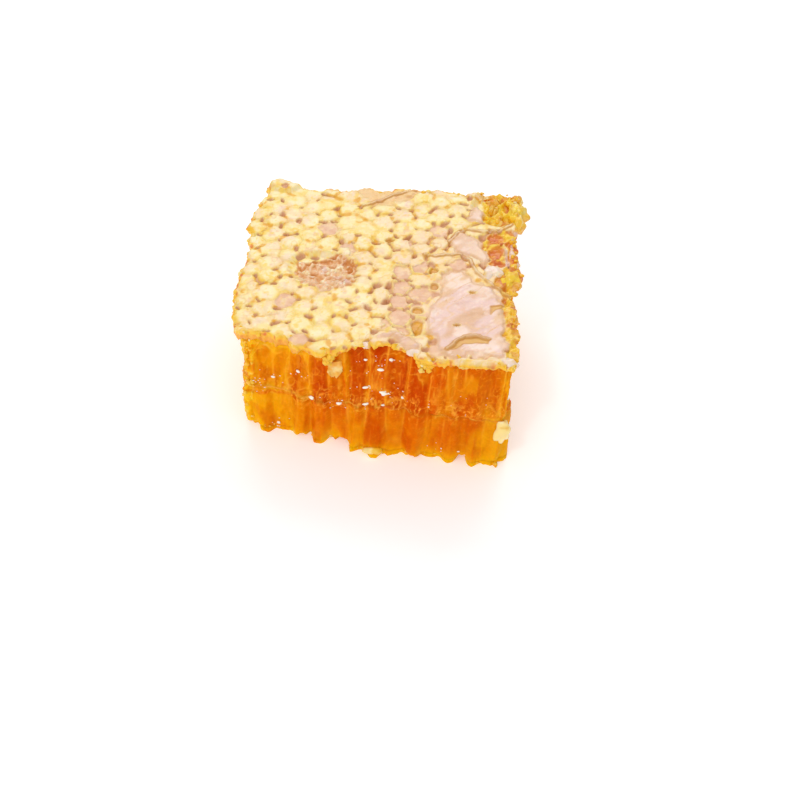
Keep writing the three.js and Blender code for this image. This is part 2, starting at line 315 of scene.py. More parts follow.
def to_lattice(x, y, z):
    dx = x - CELL_ORIGIN[0] - CELL_LEAN * (z - MIDRIB_HEIGHT)
    dy = y - CELL_ORIGIN[1]
    cos, sin = math.cos(ROW_TURN), math.sin(ROW_TURN)
    return dx * cos + dy * sin, dy * cos - dx * sin


class Cells:
    """The cell that holds each lattice point: its column and half row, and the offset from its centre."""

    def __init__(self, u, v):
        nearest = np.round(u / COLUMN_STEP)
        best = [np.full(np.shape(u), np.inf)] + [np.zeros(np.shape(u)) for _ in range(4)]
        for shift in (-1, 0, 1):
            column = nearest + shift
            odd = np.abs(np.fmod(column, 2))
            row = 2 * np.round(v / CELL_PITCH - odd / 2) + odd
            du = u - column * COLUMN_STEP
            dv = v - row * CELL_PITCH / 2
            away = np.hypot(du, dv)
            closer = away < best[0]
            best = [np.where(closer, new, old) for new, old in zip((away, column, row, du, dv), best)]
        _, self.column, self.row, self.du, self.dv = best
        self.wall = np.maximum(0, np.minimum.reduce([gap for gap, _, _ in self.edges()]))

    def edges(self):
        """For each neighbour, the distance to the wall shared with it and two numbers that name it."""
        for columns, rows in NEIGHBOURS:
            along = self.du * columns * COLUMN_STEP + self.dv * rows * CELL_PITCH / 2
            yield CELL_PITCH / 2 - along / CELL_PITCH, 2 * self.column + columns, 2 * self.row + rows

    def corners(self):
        """For each corner, the offset of a point from it and two numbers that name it, as in the solids."""
        for k in range(6):
            u = CELL_RADIUS * math.cos(k * math.pi / 3)
            v = CELL_RADIUS * math.sin(k * math.pi / 3)
            key_u = np.round((self.column * COLUMN_STEP + u) * 4)
            key_v = np.round((self.row * CELL_PITCH / 2 + v) * 4)
            yield self.du - u, self.dv - v, key_u, key_v

    def own(self, salt):
        """A value from 0 to 1 for each cell."""
        return hash01(self.column, self.row, salt)

    def flutes(self, depth):
        """How far columns of that depth stand out of a cut between their walls, as in the solids."""
        rise = smoothstep(self.wall, 0, CELL_PITCH / 3)
        return depth * rise * (1 + FLUTE_SPREAD * (self.own(1) - 0.5)) - depth / 2


# --- outline ----------------------------------------------------------------------------------

def side_point(corners, swells, side, share):
    start = np.array(corners[side])
    run = np.array(corners[(side + 1) % 4]) - start
    outward = np.array((run[1], -run[0])) / np.hypot(*run)
    point = start + share[:, None] * run
    along = point[:, side % 2]
    bulge = sum(out * peak(along - at, reach) for at, reach, out in swells[side])
    return point + bulge[:, None] * outward


def coarse_steps():
    corners = np.array(TOP_CORNERS)
    lengths = np.hypot(*(np.roll(corners, -1, axis=0) - corners).T)
    return [round(length / RIM_STEP) for length in lengths]


def curve_through(ring, place):
    """Points of the closed Catmull-Rom curve through a ring, at places counted in its steps."""
    whole = np.floor(place).astype(int)
    t = (place - whole)[:, None]
    a, b, c, d = (ring[(whole + shift) % len(ring)] for shift in (-1, 0, 1, 2))
    return b + 0.5 * t * (c - a + t * (2 * a - 5 * b + 4 * c - d + t * (3 * (b - c) + d - a)))


def smooth_outline(corners, swells):
    """The outline of the solids, drawn through at the fine steps of each side."""
    steps = coarse_steps()
    sides = [side_point(corners, swells, side, np.arange(n) / n) for side, n in enumerate(steps)]
    ring = np.concatenate(sides)
    for _ in range(CORNER_PASSES):
        ring = (np.roll(ring, 1, axis=0) + ring + np.roll(ring, -1, axis=0)) / 3
    starts = np.cumsum([0] + steps[:-1])
    fine_steps = (GRID_X, GRID_Y, GRID_X, GRID_Y)
    place = [start + np.arange(fine) * n / fine for start, n, fine in zip(starts, steps, fine_steps)]
    return curve_through(ring, np.concatenate(place))


FOOT_RING = smooth_outline(FOOT_CORNERS, FOOT_SWELLS)
TOP_RING = smooth_outline(TOP_CORNERS, TOP_SWELLS)
RING_SIZE = len(TOP_RING)
NORMAL_REACH = 5


def outline(share):
    return blend(FOOT_RING, TOP_RING, share)


def outward_of(ring):
    """Outward unit normals of a closed plan ring, taken across a few steps so that they run smoothly."""
    run = np.roll(ring, -NORMAL_REACH, axis=0) - np.roll(ring, NORMAL_REACH, axis=0)
    return np.stack((run[:, 1], -run[:, 0]), axis=-1) / np.hypot(*run.T)[:, None]


def top_plane(x):
    return PIECE_HEIGHT + TOP_CLIMB * x


def midrib_plane(x):
    return MIDRIB_HEIGHT + MIDRIB_CLIMB * x


def path_distance(x, y, path):
    """Distance in mm from each point to a path of straight runs."""
    nearest = np.full(np.shape(x), np.inf)
    for (ax, ay), (bx, by) in zip(path, path[1:]):
        run = np.array((bx - ax, by - ay))
        share = np.clip(((x - ax) * run[0] + (y - ay) * run[1]) / (run @ run), 0, 1)
        nearest = np.minimum(nearest, np.hypot(x - ax - share * run[0], y - ay - share * run[1]))
    return nearest


def depth_inside(x, y, path):
    """Distance in mm from each point to a closed path: positive inside it, negative outside."""
    closed = (*path, path[0])
    inside = np.zeros(np.shape(x), dtype=bool)
    for (ax, ay), (bx, by) in zip(closed, closed[1:]):
        level = (y - ay) / (by - ay) if by != ay else 0
        inside ^= ((ay > y) != (by > y)) & (x < ax + level * (bx - ax))
    return np.where(inside, 1, -1) * path_distance(x, y, closed)


# --- meshes -----------------------------------------------------------------------------------

SHARP_ANGLE = math.radians(65)


def make_object(name, points, faces, material, tint, node=None):
    """A mesh object from points in mm, which rides on the part and may stand for a solid."""
    mesh = bpy.data.meshes.new(name)
    moved = (np.asarray(points) - np.array((*PLAN_CENTRE, 0))) * MM
    mesh.from_pydata(moved.tolist(), [], faces)
    mesh.polygons.foreach_set("use_smooth", np.ones(len(mesh.polygons), dtype=bool))
    layer = mesh.color_attributes.new("tint", "FLOAT_COLOR", "POINT")
    rgba = np.concatenate((linear(tint), np.ones((len(tint), 1))), axis=1)
    layer.data.foreach_set("color", rgba.astype(np.float32).ravel())
    mesh.materials.append(material)
    mesh.validate()
    mesh.set_sharp_from_angle(angle=SHARP_ANGLE)
    obj = bpy.data.objects.new(name, mesh)
    bpy.context.scene.collection.objects.link(obj)
    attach(obj, "root")
    if node:
        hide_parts(node)
    return obj


def band_faces(levels, count):
    """Quads between rings of points that are listed level by level from the lowest up."""
    k = np.arange(count)
    after = (k + 1) % count
    quad = np.stack((k, after, after + count, k + count), axis=-1)
    return np.concatenate([quad + level * count for level in range(levels - 1)]).tolist()


def closed_band(levels, count):
    """The quads of a band, with both ends closed by one face."""
    bottom = list(range(count))[::-1]
    top = list(range((levels - 1) * count, levels * count))
    return band_faces(levels, count) + [bottom, top]


def grid_faces(index):
    """Quads of a grid of point numbers, facing up."""
    a, b, c, d = index[:-1, :-1], index[1:, :-1], index[1:, 1:], index[:-1, 1:]
    return np.stack((a, b, c, d), axis=-1).reshape(-1, 4).tolist()


def ring_quads(upper, lower):
    """Quads from one ring of point numbers down to the next, facing out."""
    return np.stack((upper, lower, np.roll(lower, -1), np.roll(upper, -1)), axis=-1).tolist()


def rim_of(index):
    """The point numbers round the rim of a grid, counter-clockwise from the front left."""
    return np.concatenate((index[:-1, 0], index[-1, :-1], index[:0:-1, -1], index[0, :0:-1]))


def patch(ring):
    """Spreads a grid of plan points inside a ring that starts at the front left corner."""
    front = ring[:GRID_X + 1]
    right = ring[GRID_X:GRID_X + GRID_Y + 1]
    back = ring[GRID_X + GRID_Y:2 * GRID_X + GRID_Y + 1][::-1]
    left = np.concatenate((ring[2 * GRID_X + GRID_Y:], ring[:1]))[::-1]
    s = (np.arange(GRID_X + 1) / GRID_X)[:, None, None]
    t = (np.arange(GRID_Y + 1) / GRID_Y)[None, :, None]
    across = (1 - t) * front[:, None] + t * back[:, None] + (1 - s) * left[None] + s * right[None]
    corners = (1 - s) * ((1 - t) * front[0] + t * back[0]) + s * ((1 - t) * front[-1] + t * back[-1])
    return across - corners


def rim_distance():
    """Rough distance in mm from each point of a patch to its rim."""
    s = np.arange(GRID_X + 1)[:, None] / GRID_X
    t = np.arange(GRID_Y + 1)[None, :] / GRID_Y
    width = TOP_CORNERS[1][0] - TOP_CORNERS[0][0]
    depth = TOP_CORNERS[2][1] - TOP_CORNERS[0][1]
    return np.minimum(np.minimum(s, 1 - s) * width, np.minimum(t, 1 - t) * depth)


class Shell:
    """Collects points, tints and faces of one mesh that is closed ring by ring."""

    def __init__(self):
        self.points, self.tints, self.faces = [], [], []
        self.count = 0

    def put(self, points, tints):
        """Adds points with their tints, or with one tint for all, and returns their numbers."""
        points = np.asarray(points).reshape(-1, 3)
        self.points.append(points)
        self.tints.append(np.broadcast_to(rgb(tints).reshape(-1, 3), points.shape))
        self.count += len(points)
        return np.arange(self.count - len(points), self.count)

    def loft(self, rings, tint):
        """Adds a closed loft of rings (levels, sides, 3), listed from the lowest up."""
        levels, sides, _ = rings.shape
        start = self.count
        self.put(rings, tint)
        self.faces += [[k + start for k in face] for face in closed_band(levels, sides)]

    def make(self, name, material, node=None):
        return make_object(name, np.concatenate(self.points), self.faces, material,
                           np.concatenate(self.tints), node)


# --- the cut face of the cell layers ----------------------------------------------------------

# Squeezes along Z that draw noise out upwards: of what bends cells, breaks their walls and pales them.
BEND_SQUEEZE = (1, 1, 0.45)
BREAK_SQUEEZE = (1, 1, 0.6)
PALE_SQUEEZE = (1, 1, 0.35)
# How far the cells bend along X and Y, and the size of their bends (mm).
FACE_BENDS = (0.4, 0.6)
BEND_SIZE = 4.5
# Cells that are cut open: their share, how many more above the midrib, how softly it is drawn, depth.
OPEN_SHARE = 0.45
OPEN_MORE = 0.2
OPEN_SOFT = 0.03
OPEN_DEPTH = 1.5
# Where a cell's hollow starts and is full, from its wall, and cups do, from the midrib (mm).
HOLLOW = (0.15, 1.3)
CUP_ENDS = (0.3, 2.0)
WALL_RIDGE = 0.4
WALL_WIDTH = 0.22
PALE_WALL = Line(WALL_LIGHT, 1.0, 0.2)
# The height over the midrib at which shreds of wax lie thickest, and how far from it they reach.
SHRED_HEIGHT = 1.0
SHRED_REACH = 3.0

# Places along X on the front where the foot is broken out. Behind FRONT_EDGE some cells are instead.
FRONT_NOTCHES = (-29.5, -17.1, -7.3, 10.7, 23.0)
FRONT_EDGE = -20
NOTCH_DEPTH = 2.6
NOTCH_WIDTH = 1.5
NOTCH_CHANCE = (0.6, 0.75)
NOTCH_SIDES = (0.1, 1.0)
LOBE_DEPTH = 0.7
LOBE_WIDTH = 1.2
# Heights between which the notches end.
NOTCH_TOP = (1.5, 2.3)
NOTCH_WAVER = (Ripple(0.8, 1.5, 1),)

# Honey along the face: its colours come in along X, at places (mm) that waver.
FACE_DRIFT = (Ripple(5.0, 8.0, 1),)
MIDDLE_HONEY = Layer(HONEY_MIDDLE, 1.0, -27, -8)
RIGHT_HONEY = Layer(HONEY_RIGHT, 1.0, 16, 30)
RIGHT_EDGE = Layer(HONEY_TIP, 0.6, 27, 33)
PALE_CELLS = Layer(HONEY_TIP, 0.4, 0.5, 0.9)
DEEP_START = (-26, -10)
# Painted shade in the recess under the rim, as deeper honey: how far below the top (mm), its middle and how
# it ends to both sides.
RECESS_SHADE = Layer(HONEY_DEEP, 0.7, -11, -2)
RECESS_SHADE_MIDDLE = 1.0
RECESS_SHADE_SIDES = (4, 10)
# The pale glow of the foot: how strong, and up to about which height (mm).
FOOT_GLOW = ((0.85, 3.0), (0.2975, 12.0))
# A redder tint at the joints between layers, where their light is lost: how far and how strong.
JOINT_REACH = 0.45
RIB_JOINT = 0.75
FOOT_JOINT = 0.3
# How far in and down the top of a layer is sunk behind its rim, clear of what lies on it.
SUNK_MIDDLE = 2.0

FACE_RIPPLES = (
    Ripple(0.25, 6.0, 1),
    Ripple(0.10, 0.8, 1, 8.0),
    Ripple(0.16, 1.1, 2, 1.7),
)
# Torn walls and shreds of wax on the cut face; the second lot lies close to the midrib.
TORN_WALLS = (
    Thread(WALL_LIGHT, 0.60, 2.6, 0.06, 2.2, 0.28),
    Thread(WALL_LIGHT, 0.45, 1.3, 0.07, 1.8, 0.14),
)
SHREDS = (
    Thread(MIDRIB_LIGHT, 0.85, 1.8, 0.07, 0.6, 0.25),
    Thread(MIDRIB_LIGHT, 0.65, 0.9, 0.09, 0.7, 0.14),
)
SPECKS = (
    Mottle(MIDRIB_LIGHT, 0.9, 0.7, 0.50, 0.75),
    Mottle(WALL_LIGHT, 0.6, 1.4, 0.45, 0.8, 0.7),
)
FACE_MOTTLES = (
    Mottle(HONEY_TIP, 0.40, 4.5, 0.10, 0.8, 2.0),
    Mottle(HONEY_DEEP, 0.35, 3.2, 0.20, 0.8, 2.0),
)
STRIPES = (
    Mottle(WALL_LIGHT, 0.38, 0.7, 0.25, 0.8, 6.0),
    Mottle(HONEY_DEEP, 0.40, 0.9, 0.10, 0.8, 6.0),
)

# Wax that clings to the face: its patches, its relief and how strong its colour is.
CRUSTED_MOTTLES = (
    Mottle(BUTTER, 0.8, 1.4, 0.2, 0.7),
    Mottle(HONEY_LEFT, 0.9, 1.2, 0.15, 0.6),
)
CRUSTED_RELIEF = (Ripple(0.35, 1.0, 2),)
CRUSTED_WEIGHT = 0.75
# Where it lies below the rim (mm): how far down it ends, where it starts on the left, and where it
# grows deeper and by which share.
CRUSTED_FALL = (1.6, 3.4)
CRUSTED_WAVER = (Ripple(1.2, 1.8, 2),)
CRUSTED_LEFT = (6, 18)
CRUSTED_DEEPER = (17, 23)
CRUSTED_MORE = 0.9
# Where it lies down the left edge, and from where on the left side counts as the front (mm).
CRUSTED_EDGE = (28.5, 31.0)
EDGE_WAVER = (Ripple(1.5, 2.4, 1),)
EDGE_PATCHES = (-0.5, 0.2)
LEFT_FRONT = (14, 20)


class CutFace:
    """What the comb does at points of the cut face."""

    def __init__(self, x, y, z):
        self.x, self.y, self.z = x, y, z
        self.at = stack(x, y, z)
        squeezed = self.at * BEND_SQUEEZE
        bend_x, bend_y = (bend * noise(squeezed, BEND_SIZE, 11 + k) for k, bend in enumerate(FACE_BENDS))
        self.cells = Cells(*to_lattice(x + bend_x, y + bend_y, z))
        self.above_rib = z - midrib_plane(x)
        self.upper = self.above_rib > 0
        self.hollow = smoothstep(self.cells.wall, *HOLLOW)
        chance = self.cells.own(8 + self.upper) + OPEN_SHARE + OPEN_MORE * self.upper
        self.open = smoothstep(chance, 1 - OPEN_SOFT, 1 + OPEN_SOFT)
        self.near_rib = at_least(0.15, peak(self.above_rib - SHRED_HEIGHT, SHRED_REACH))
        self.ragged = at_least(0.3, self.upper)

    def relief(self, depth):
        """How far the face stands out, for columns of that depth."""
        at = self.at
        ends = at_least(0.35, smoothstep(np.abs(self.above_rib), *CUP_ENDS))
        cups = OPEN_DEPTH * self.open * self.hollow * at_least(0.65, noise(at, 3.0, 21)) * ends
        broken = at_least(0.5, noise(at * BREAK_SQUEEZE, 2.2, 22))
        walls = WALL_RIDGE * peak(self.cells.wall, WALL_WIDTH) * broken
        torn = raised(at, TORN_WALLS, 211, self.ragged) + raised(at, SHREDS, 221, self.near_rib)
        clinging = self.crusted() * rippled(at, CRUSTED_RELIEF, 39)
        rough = rippled(at, FACE_RIPPLES, 25)
        return self.cells.flutes(depth) - cups + walls + torn + clinging - self.notches() + rough

    def notches(self):
        """How far the foot is broken back: at set places in front, at some cells on the other sides."""
        wall = self.cells.wall
        front = sum(peak(self.x - place, NOTCH_WIDTH) for place in FRONT_NOTCHES)
        random = smoothstep(self.cells.own(17), *NOTCH_CHANCE) * smoothstep(wall, *NOTCH_SIDES)
        bite = NOTCH_DEPTH * np.where(self.y < FRONT_EDGE, front, random)
        bite = bite + LOBE_DEPTH * (1 - smoothstep(wall, 0, LOBE_WIDTH))
        return bite * (1 - smoothstep(self.z + rippled(self.at, NOTCH_WAVER, 24), *NOTCH_TOP))

    def honey_tint(self):
        """The colours of the honey: from the left to the right, painted shade in the hollows of open cells
        and in the recess, the pale glow at the foot, and the joints.
        """
        drift = self.x + rippled(self.at, FACE_DRIFT, 31)
        tint = laid(laid(HONEY_LEFT, MIDDLE_HONEY, drift), RIGHT_HONEY, drift)
        full = at_least(0.25, smoothstep(drift, *DEEP_START)) * at_least(0.4, self.upper)
        tint = laid(tint, PALE_CELLS, self.cells.own(13))
        # Deeper honey in the middles of cells; the much stronger darkening of the open, cut-back cells is
        # painted shade in their hollows.
        tint = mix(tint, HONEY_DEEP, full * self.hollow * (0.10 + 0.65 * self.open))
        # Painted shade: the recess under the rim is darkened to deep honey.
        beside = 1 - smoothstep(np.abs(self.x - RECESS_SHADE_MIDDLE), *RECESS_SHADE_SIDES)
        tint = laid(tint, RECESS_SHADE, self.z - top_plane(self.x), beside)
        tint = mix(tint, HONEY_TIP, sum(share * peak(self.z, reach) for share, reach in FOOT_GLOW))
        tint = laid(tint, RIGHT_EDGE, self.x)
        joint = RIB_JOINT * peak(self.above_rib, JOINT_REACH)
        joint = joint + FOOT_JOINT * peak(self.z - BOTTOM_CAPPING, JOINT_REACH)
        return mix(tint, HONEY_MIDDLE, joint)

    def tint(self):
        at = self.at
        tint = mottled(self.honey_tint(), at, FACE_MOTTLES, 231)
        tint = mottled(tint, at, STRIPES, 233, at_least(0.5, self.upper))
        broken = at_least(0.35, noise(at * PALE_SQUEEZE, 2.2, 33))
        tint = lined(tint, PALE_WALL, self.cells.wall, (0.5 + 0.4 * self.upper) * broken)
        tint = threaded(tint, at, TORN_WALLS, 211, self.ragged)
        tint = threaded(tint, at, SHREDS, 221, self.near_rib)
        tint = mottled(tint, at, SPECKS, 237, self.near_rib)
        return mix(tint, mottled(CRUST_YELLOW, at, CRUSTED_MOTTLES, 243), CRUSTED_WEIGHT * self.crusted())

    def crusted(self):
        """Where wax clings to the face: below the rim on the left, and down the left edge."""
        left = -self.x
        below = top_plane(self.x) - self.z + rippled(self.at, CRUSTED_WAVER, 34)
        deep = 1 + CRUSTED_MORE * smoothstep(left, *CRUSTED_DEEPER)
        hangs = 1 - smoothstep(below / deep, *CRUSTED_FALL)
        under_rim = self.upper * hangs * smoothstep(left, *CRUSTED_LEFT)
        edge = smoothstep(left + rippled(self.at, EDGE_WAVER, 36), *CRUSTED_EDGE)
        edge = edge * smoothstep(-self.y, *LEFT_FRONT) * smoothstep(noise(self.at, 1.5, 35), *EDGE_PATCHES)
        return np.maximum(under_rim, edge)


def face_ring(z, depth, extra=0.0):
    """The ring of the cut face at one height, with what the comb does there."""
    ring = outline(z / PIECE_HEIGHT)
    face = CutFace(ring[:, 0], ring[:, 1], np.full(RING_SIZE, float(z)))
    inset = CRUST_OVERHANG * z / PIECE_HEIGHT
    return ring + outward_of(ring) * (face.relief(depth) - inset + extra)[:, None], face


def cell_layer(name, node, low, high, depth_low, depth_high, material):
    """A layer of honey-filled cells between two planes, with its fine cut face."""
    levels = round((high(0) - low(0)) / LEVEL_STEP) + 1
    shell = Shell()
    for share in np.arange(levels) / (levels - 1):
        depth = blend(depth_low, depth_high, share)
        ring, face = face_ring(blend(low(0), high(0), share), depth)
        height = blend(low(face.x), high(face.x), share)
        shell.put(at_height(ring, height), face.tint())
    shell.put(at_height(ring - outward_of(ring) * SUNK_MIDDLE, height - SUNK_MIDDLE), face.tint())
    shell.faces = closed_band(levels + 1, RING_SIZE)
    return shell.make(name, material, node)


# --- the top of the comb ----------------------------------------------------------------------

# Outlines in plan of the places that look unlike plain caps (mm).
TORN_PATCH = ((-22.6, -0.4), (-21.5, 3.6), (-17.5, 4.8), (-13.1, 5.7), (-9.0, 3.0), (-6.6, 0.5),
              (-6.8, -4.8), (-10.2, -7.4), (-14.3, -6.8), (-20.0, -5.6))
FILM_FRONT = ((13.4, -1.0), (16.0, 1.2), (18.5, 2.2), (21.6, -0.6), (24.2, -4.6), (28.2, -8.1),
              (29.3, -14.5), (29.2, -22.9), (29.2, -28.6), (22.0, -28.4), (15.6, -29.6), (13.3, -27.5),
              (13.0, -24.7), (10.8, -19.3), (10.1, -15.8), (12.6, -11.3), (13.4, -6.9))
FILM_BACK = ((15.3, 14.2), (18.6, 15.4), (23.3, 12.4), (24.4, 7.5), (24.0, 4.0), (20.9, 6.2),
             (17.3, 8.2), (15.7, 11.2))
FILM_RIM = ((-0.6, -24.0), (1.0, -22.6), (3.6, -22.0), (7.0, -23.0), (9.4, -25.4), (9.4, -27.4),
            (5.4, -26.6), (3.0, -24.6))
PEARL_BACK = ((19.3, 24.6), (21.4, 26.6), (23.2, 25.0), (23.4, 20.2), (19.8, 19.8))
SMOOTH_BACK = ((-10.7, 31.2), (-5.5, 34.0), (0.5, 34.0), (8.0, 34.5), (5.0, 29.5), (-1.3, 26.0),
               (-7.0, 25.0))
OPEN_CORNER = ((22.9, 27.2), (24.5, 34.0), (36.0, 36.0), (35.0, 21.0), (30.0, 20.4), (26.2, 19.4),
               (23.4, 21.6))
AMBER_SIDE = ((24.3, 13.8), (26.6, 17.6), (35.0, 18.5), (35.0, 3.0), (29.0, 3.6), (25.0, 4.5),
              (24.4, 9.1))
SEAM = ((28.4, 3.0), (35.0, 3.0), (35.0, -30.0), (29.8, -28.8), (29.3, -22.9), (29.4, -15.0),
        (28.4, -8.0), (26.8, -4.6))
THIN_CAPS = ((1.0, 2.0), (10.5, 3.5), (11.0, -8.0), (8.5, -23.0), (-1.0, -21.0), (2.5, -10.0))
POCKET = ((15.8, -27.2), (17.6, -24.2), (19.9, -22.2), (23.2, -21.8), (25.6, -22.8), (25.3, -24.2),
          (22.3, -23.9), (19.5, -24.6), (17.6, -26.6))
SLOT = ((25.6, -11.6), (29.3, -10.7), (28.6, -12.0), (26.8, -12.8), (25.9, -14.2))


class Region(NamedTuple):
    """A place on the top: its outline, how far that wanders and how far it fades to each side (mm)."""
    path: tuple
    wander: float
    fade: float


TORN = Region(TORN_PATCH, 1.8, 0.5)
CORNER = Region(OPEN_CORNER, 1.2, 0.3)
SIDE = Region(AMBER_SIDE, 1.2, 0.3)
RIGHT_SEAM = Region(SEAM, 1.0, 0.3)
SMOOTH = Region(SMOOTH_BACK, 1.2, 0.8)
THIN = Region(THIN_CAPS, 1.5, 0.5)

# Opened caps: plan place of the middle and half width along X and Y (mm).
OPENED_CAPS = ((11.6, 0.5, 1.1, 1.0), (11.9, -4.8, 1.1, 1.4), (8.4, -13.8, 1.3, 1.2),
               (8.6, -20.5, 1.5, 2.5), (-0.2, 11.4, 1.2, 0.7), (21.1, -7.1, 0.9, 0.5),
               (17.8, -18.5, 0.8, 0.4))

# Folds of honey film and wax over the caps, as the few points that each runs through.
FOLDS = (
    ((14.9, 12.0), (16.5, 14.9), (19.1, 16.7), (23.2, 16.2), (26.8, 17.2), (30.4, 19.9)),
    ((9.0, 6.2), (11.3, 5.8), (14.3, 6.8), (17.9, 7.1), (20.5, 4.9), (22.1, 1.2), (24.7, -2.4),
     (27.7, -5.1), (30.2, -7.2)),
    ((-9.0, 24.0), (-1.0, 29.4), (4.2, 32.3), (10.0, 33.0)),
    ((15.8, -27.2), (17.6, -24.2), (19.9, -22.2), (23.2, -21.8), (25.6, -22.8)),
)
FOLD_RISE = 0.42
FOLD_WIDTH = 0.32
FOLD_WANDER = 0.35
# The gleam on a fold's crest, and the dark line beside it: its look, distance and breaks.
FOLD_GLEAM = Line(PEARL, 0.45, 0.25)
FOLD_LINE = Line(OCHRE, 0.95, 0.2)
FOLD_LINE_PLACE = 0.42
FOLD_LINE_BREAKS = (-0.9, -0.2)

# Honey between the caps: how much at least, how much more from left to right and from back to front.
WET_LEAST = 0.15
WET_MORE = 0.75
WET_RIGHT = (-10, 12)
WET_FRONT = (-22, -8)
WET_DRIFT = (Ripple(4.0, 9.0, 1),)
WET_WAVER = (Ripple(0.25, 6.0, 1),)
# Chances that a cap is sunk and that a corner has a pit, and what honey and thin caps add to each.
SUNK_CHANCE = (0.02, 0.16, 0.65)
PIT_CHANCE = (0.60, 0.30, -0.40)
SUNK_SIDES = (0.2, 0.6)

# Walls between caps part at these levels of a number of their own, and grow to honey grooves at these.
# Honey over an even wetness adds a share to that number, and thin caps part less by a share.
PARTED = (0.50, 0.95)
GROOVED = (0.84, 0.96)
WALL_EVEN = 0.35
WALL_WET = 0.3
THIN_PARTS = 0.7
# How much of a dome is lost at a wall, and how much more where it is parted.
DOME_LOST = 0.2
DOME_LOST_MORE = 0.4
# How far from a wall its dome falls, and the places and widths of what runs along the wall (mm).
DOME_REACH = 1.4
# The yellow band along a wall is a painted glow, as of light coming through the wax slopes.
GLOW_BAND_PLACE = 0.3
GLOW_BAND_WIDTH = 0.42
CREASE_WIDTH = 0.16
GROOVE_WIDTH = 0.3
THIN_WALL = 0.25
RIDGE_WIDTH = 0.6
# Pits: the least radius (mm) and how much honey adds, how drawn out they are, their ragged side.
PIT_RADIUS = 0.42
PIT_WET = 0.4
PIT_STRETCH = (1.35, 1 / 1.3)
PIT_RAGGED = (Ripple(0.25, 0.9, 1),)
PIT_SIDE = (0.5, 1.12)
# The depth of the smallest pit as a share of the full one, and how much size adds.
PIT_LEAST = 0.35
PIT_MORE = 0.4
# Opened caps: the share of their half widths where they end, and where the pale lip lies.
OPENED_SIDE = (0.8, 1.05)
LIP_PLACE = 1.25
LIP_WIDTH = 0.16
OPENED_WANDER = 0.35
# Rises and depths (mm) of the parts of the relief; a cap's lean is for each mm from its middle.
CAP_LEAN = 0.07
SUNK_DEPTH = 0.3
CREASE_DEPTH = 0.08
GROOVE_DEPTH = 0.40
THIN_RISE = 0.3
AMBER_CUPS = 0.6
OPENED_DEPTH = 0.45
LIP_RISE = 0.15
# How strong the crags are on the torn patch, in the open corner and on the amber side.
CRAGGED = (0.8, 0.4, 0.4)
# How far crags are sunk (mm), how much of the relief the smooth back loses, how much of the amber
# side's look the seam has, and where the cups of both start and are full (mm from a wall).
CRAG_SINK = 0.2
SMOOTH_LOSES = 0.7
SEAM_SHARE = 0.8
AMBER_CUP_SIDES = (0.3, 1.4)
OVAL_SIDE = (0.75, 1.1)

WANDER_SIZE = 3.0
CAP_WARP = (Ripple(0.60, 4.0, 1), Ripple(0.34, 1.5, 1))
WAX_RIPPLES = (Ripple(0.18, 8.0, 1), Ripple(0.09, 1.6, 3))
CRAG_SIZE = 1.5
CRAG_RISE = 0.9
RIDGE_RISE = 0.7

# Patches of the wax's tones; the lilac patches are a painted sheen and the fine cream specks are painted
# highlights.
WAX_MOTTLES = (
    Mottle(BUTTER, 0.8, 2.4, 0.0, 0.6),
    Mottle(PEACH, 0.6, 4.5, 0.1, 0.7),
    Mottle(YELLOW, 0.7, 2.0, 0.55, 0.9),
    Mottle(WET_TAN, 0.5, 1.6, 0.55, 0.95),
    Mottle(LILAC, 0.35, 3.6, 0.25, 0.75),
    Mottle(CREAM, 0.70, 0.9, 0.35, 0.8),
    Mottle(YELLOW, 0.45, 0.8, 0.50, 0.9),
)
THIN_LINE = Line(BUTTER, 0.9, 0.28)
# What comes in over plain wax: with the distance from a wall, the honey, noise, grooves and pits.
# The cream middles of the caps are partly the wax's own tone and partly a painted highlight on the domes.
CAP_MIDDLE = Layer(CREAM, 1.0, 0.3, 1.6)
WET_CAPS = Layer(PEACH, 0.65, 0.3, 0.9)
CREASE_LINE = Layer(OCHRE, 0.6, -0.3, 0.4)
GROOVE_HONEY = Layer(PIT, 0.8, 0.3, 0.8)
SUNK_SPOTS = Layer(PIT, 0.5, 0.1, 0.6)
PIT_SLOPE = Layer(PIT, 0.9, 0.1, 0.5)
PIT_MIDDLE = Layer(PIT_DARK, 0.6, 0.5, 1.0)
# Spots of honey in the joints between the caps.
JOINT_MOTTLES = (Mottle(WET_AMBER, 0.9, 1.7, 0.42, 0.7),)
JOINT_SIDES = (0.3, 0.9)
# Noise levels between which the yellow band on a side of a wall, a painted glow of light through the wax,
# and the tan of a sunk cap, come in.
GLOW_BAND_PATCHES = (0.0, 0.7)
SUNK_PATCHES = (-0.8, 0.3)
# Patches of the torn patch; the white specks are painted glints.
TORN_MOTTLES = (
    Mottle(LILAC, 0.8, 2.4, -0.1, 0.5),
    Mottle(CREAM, 0.8, 1.3, 0.25, 0.7),
    Mottle(GLINT, 0.8, 0.5, 0.60, 0.9),
)
# Orange in the torn patch: a painted shadow along its back rim, and orange in its deepest cracks; cream on
# the crests between them.
TORN_RIM_SHADOW = Layer(TORN_ORANGE, 0.9, 0.12, 0.45)
TORN_CRACKS = Layer(TORN_ORANGE, 0.5, 0.40, 0.8)
TORN_CREST = Layer(CREAM, 0.8, -0.3, 0.5)
CREST_WIDTH = 0.08
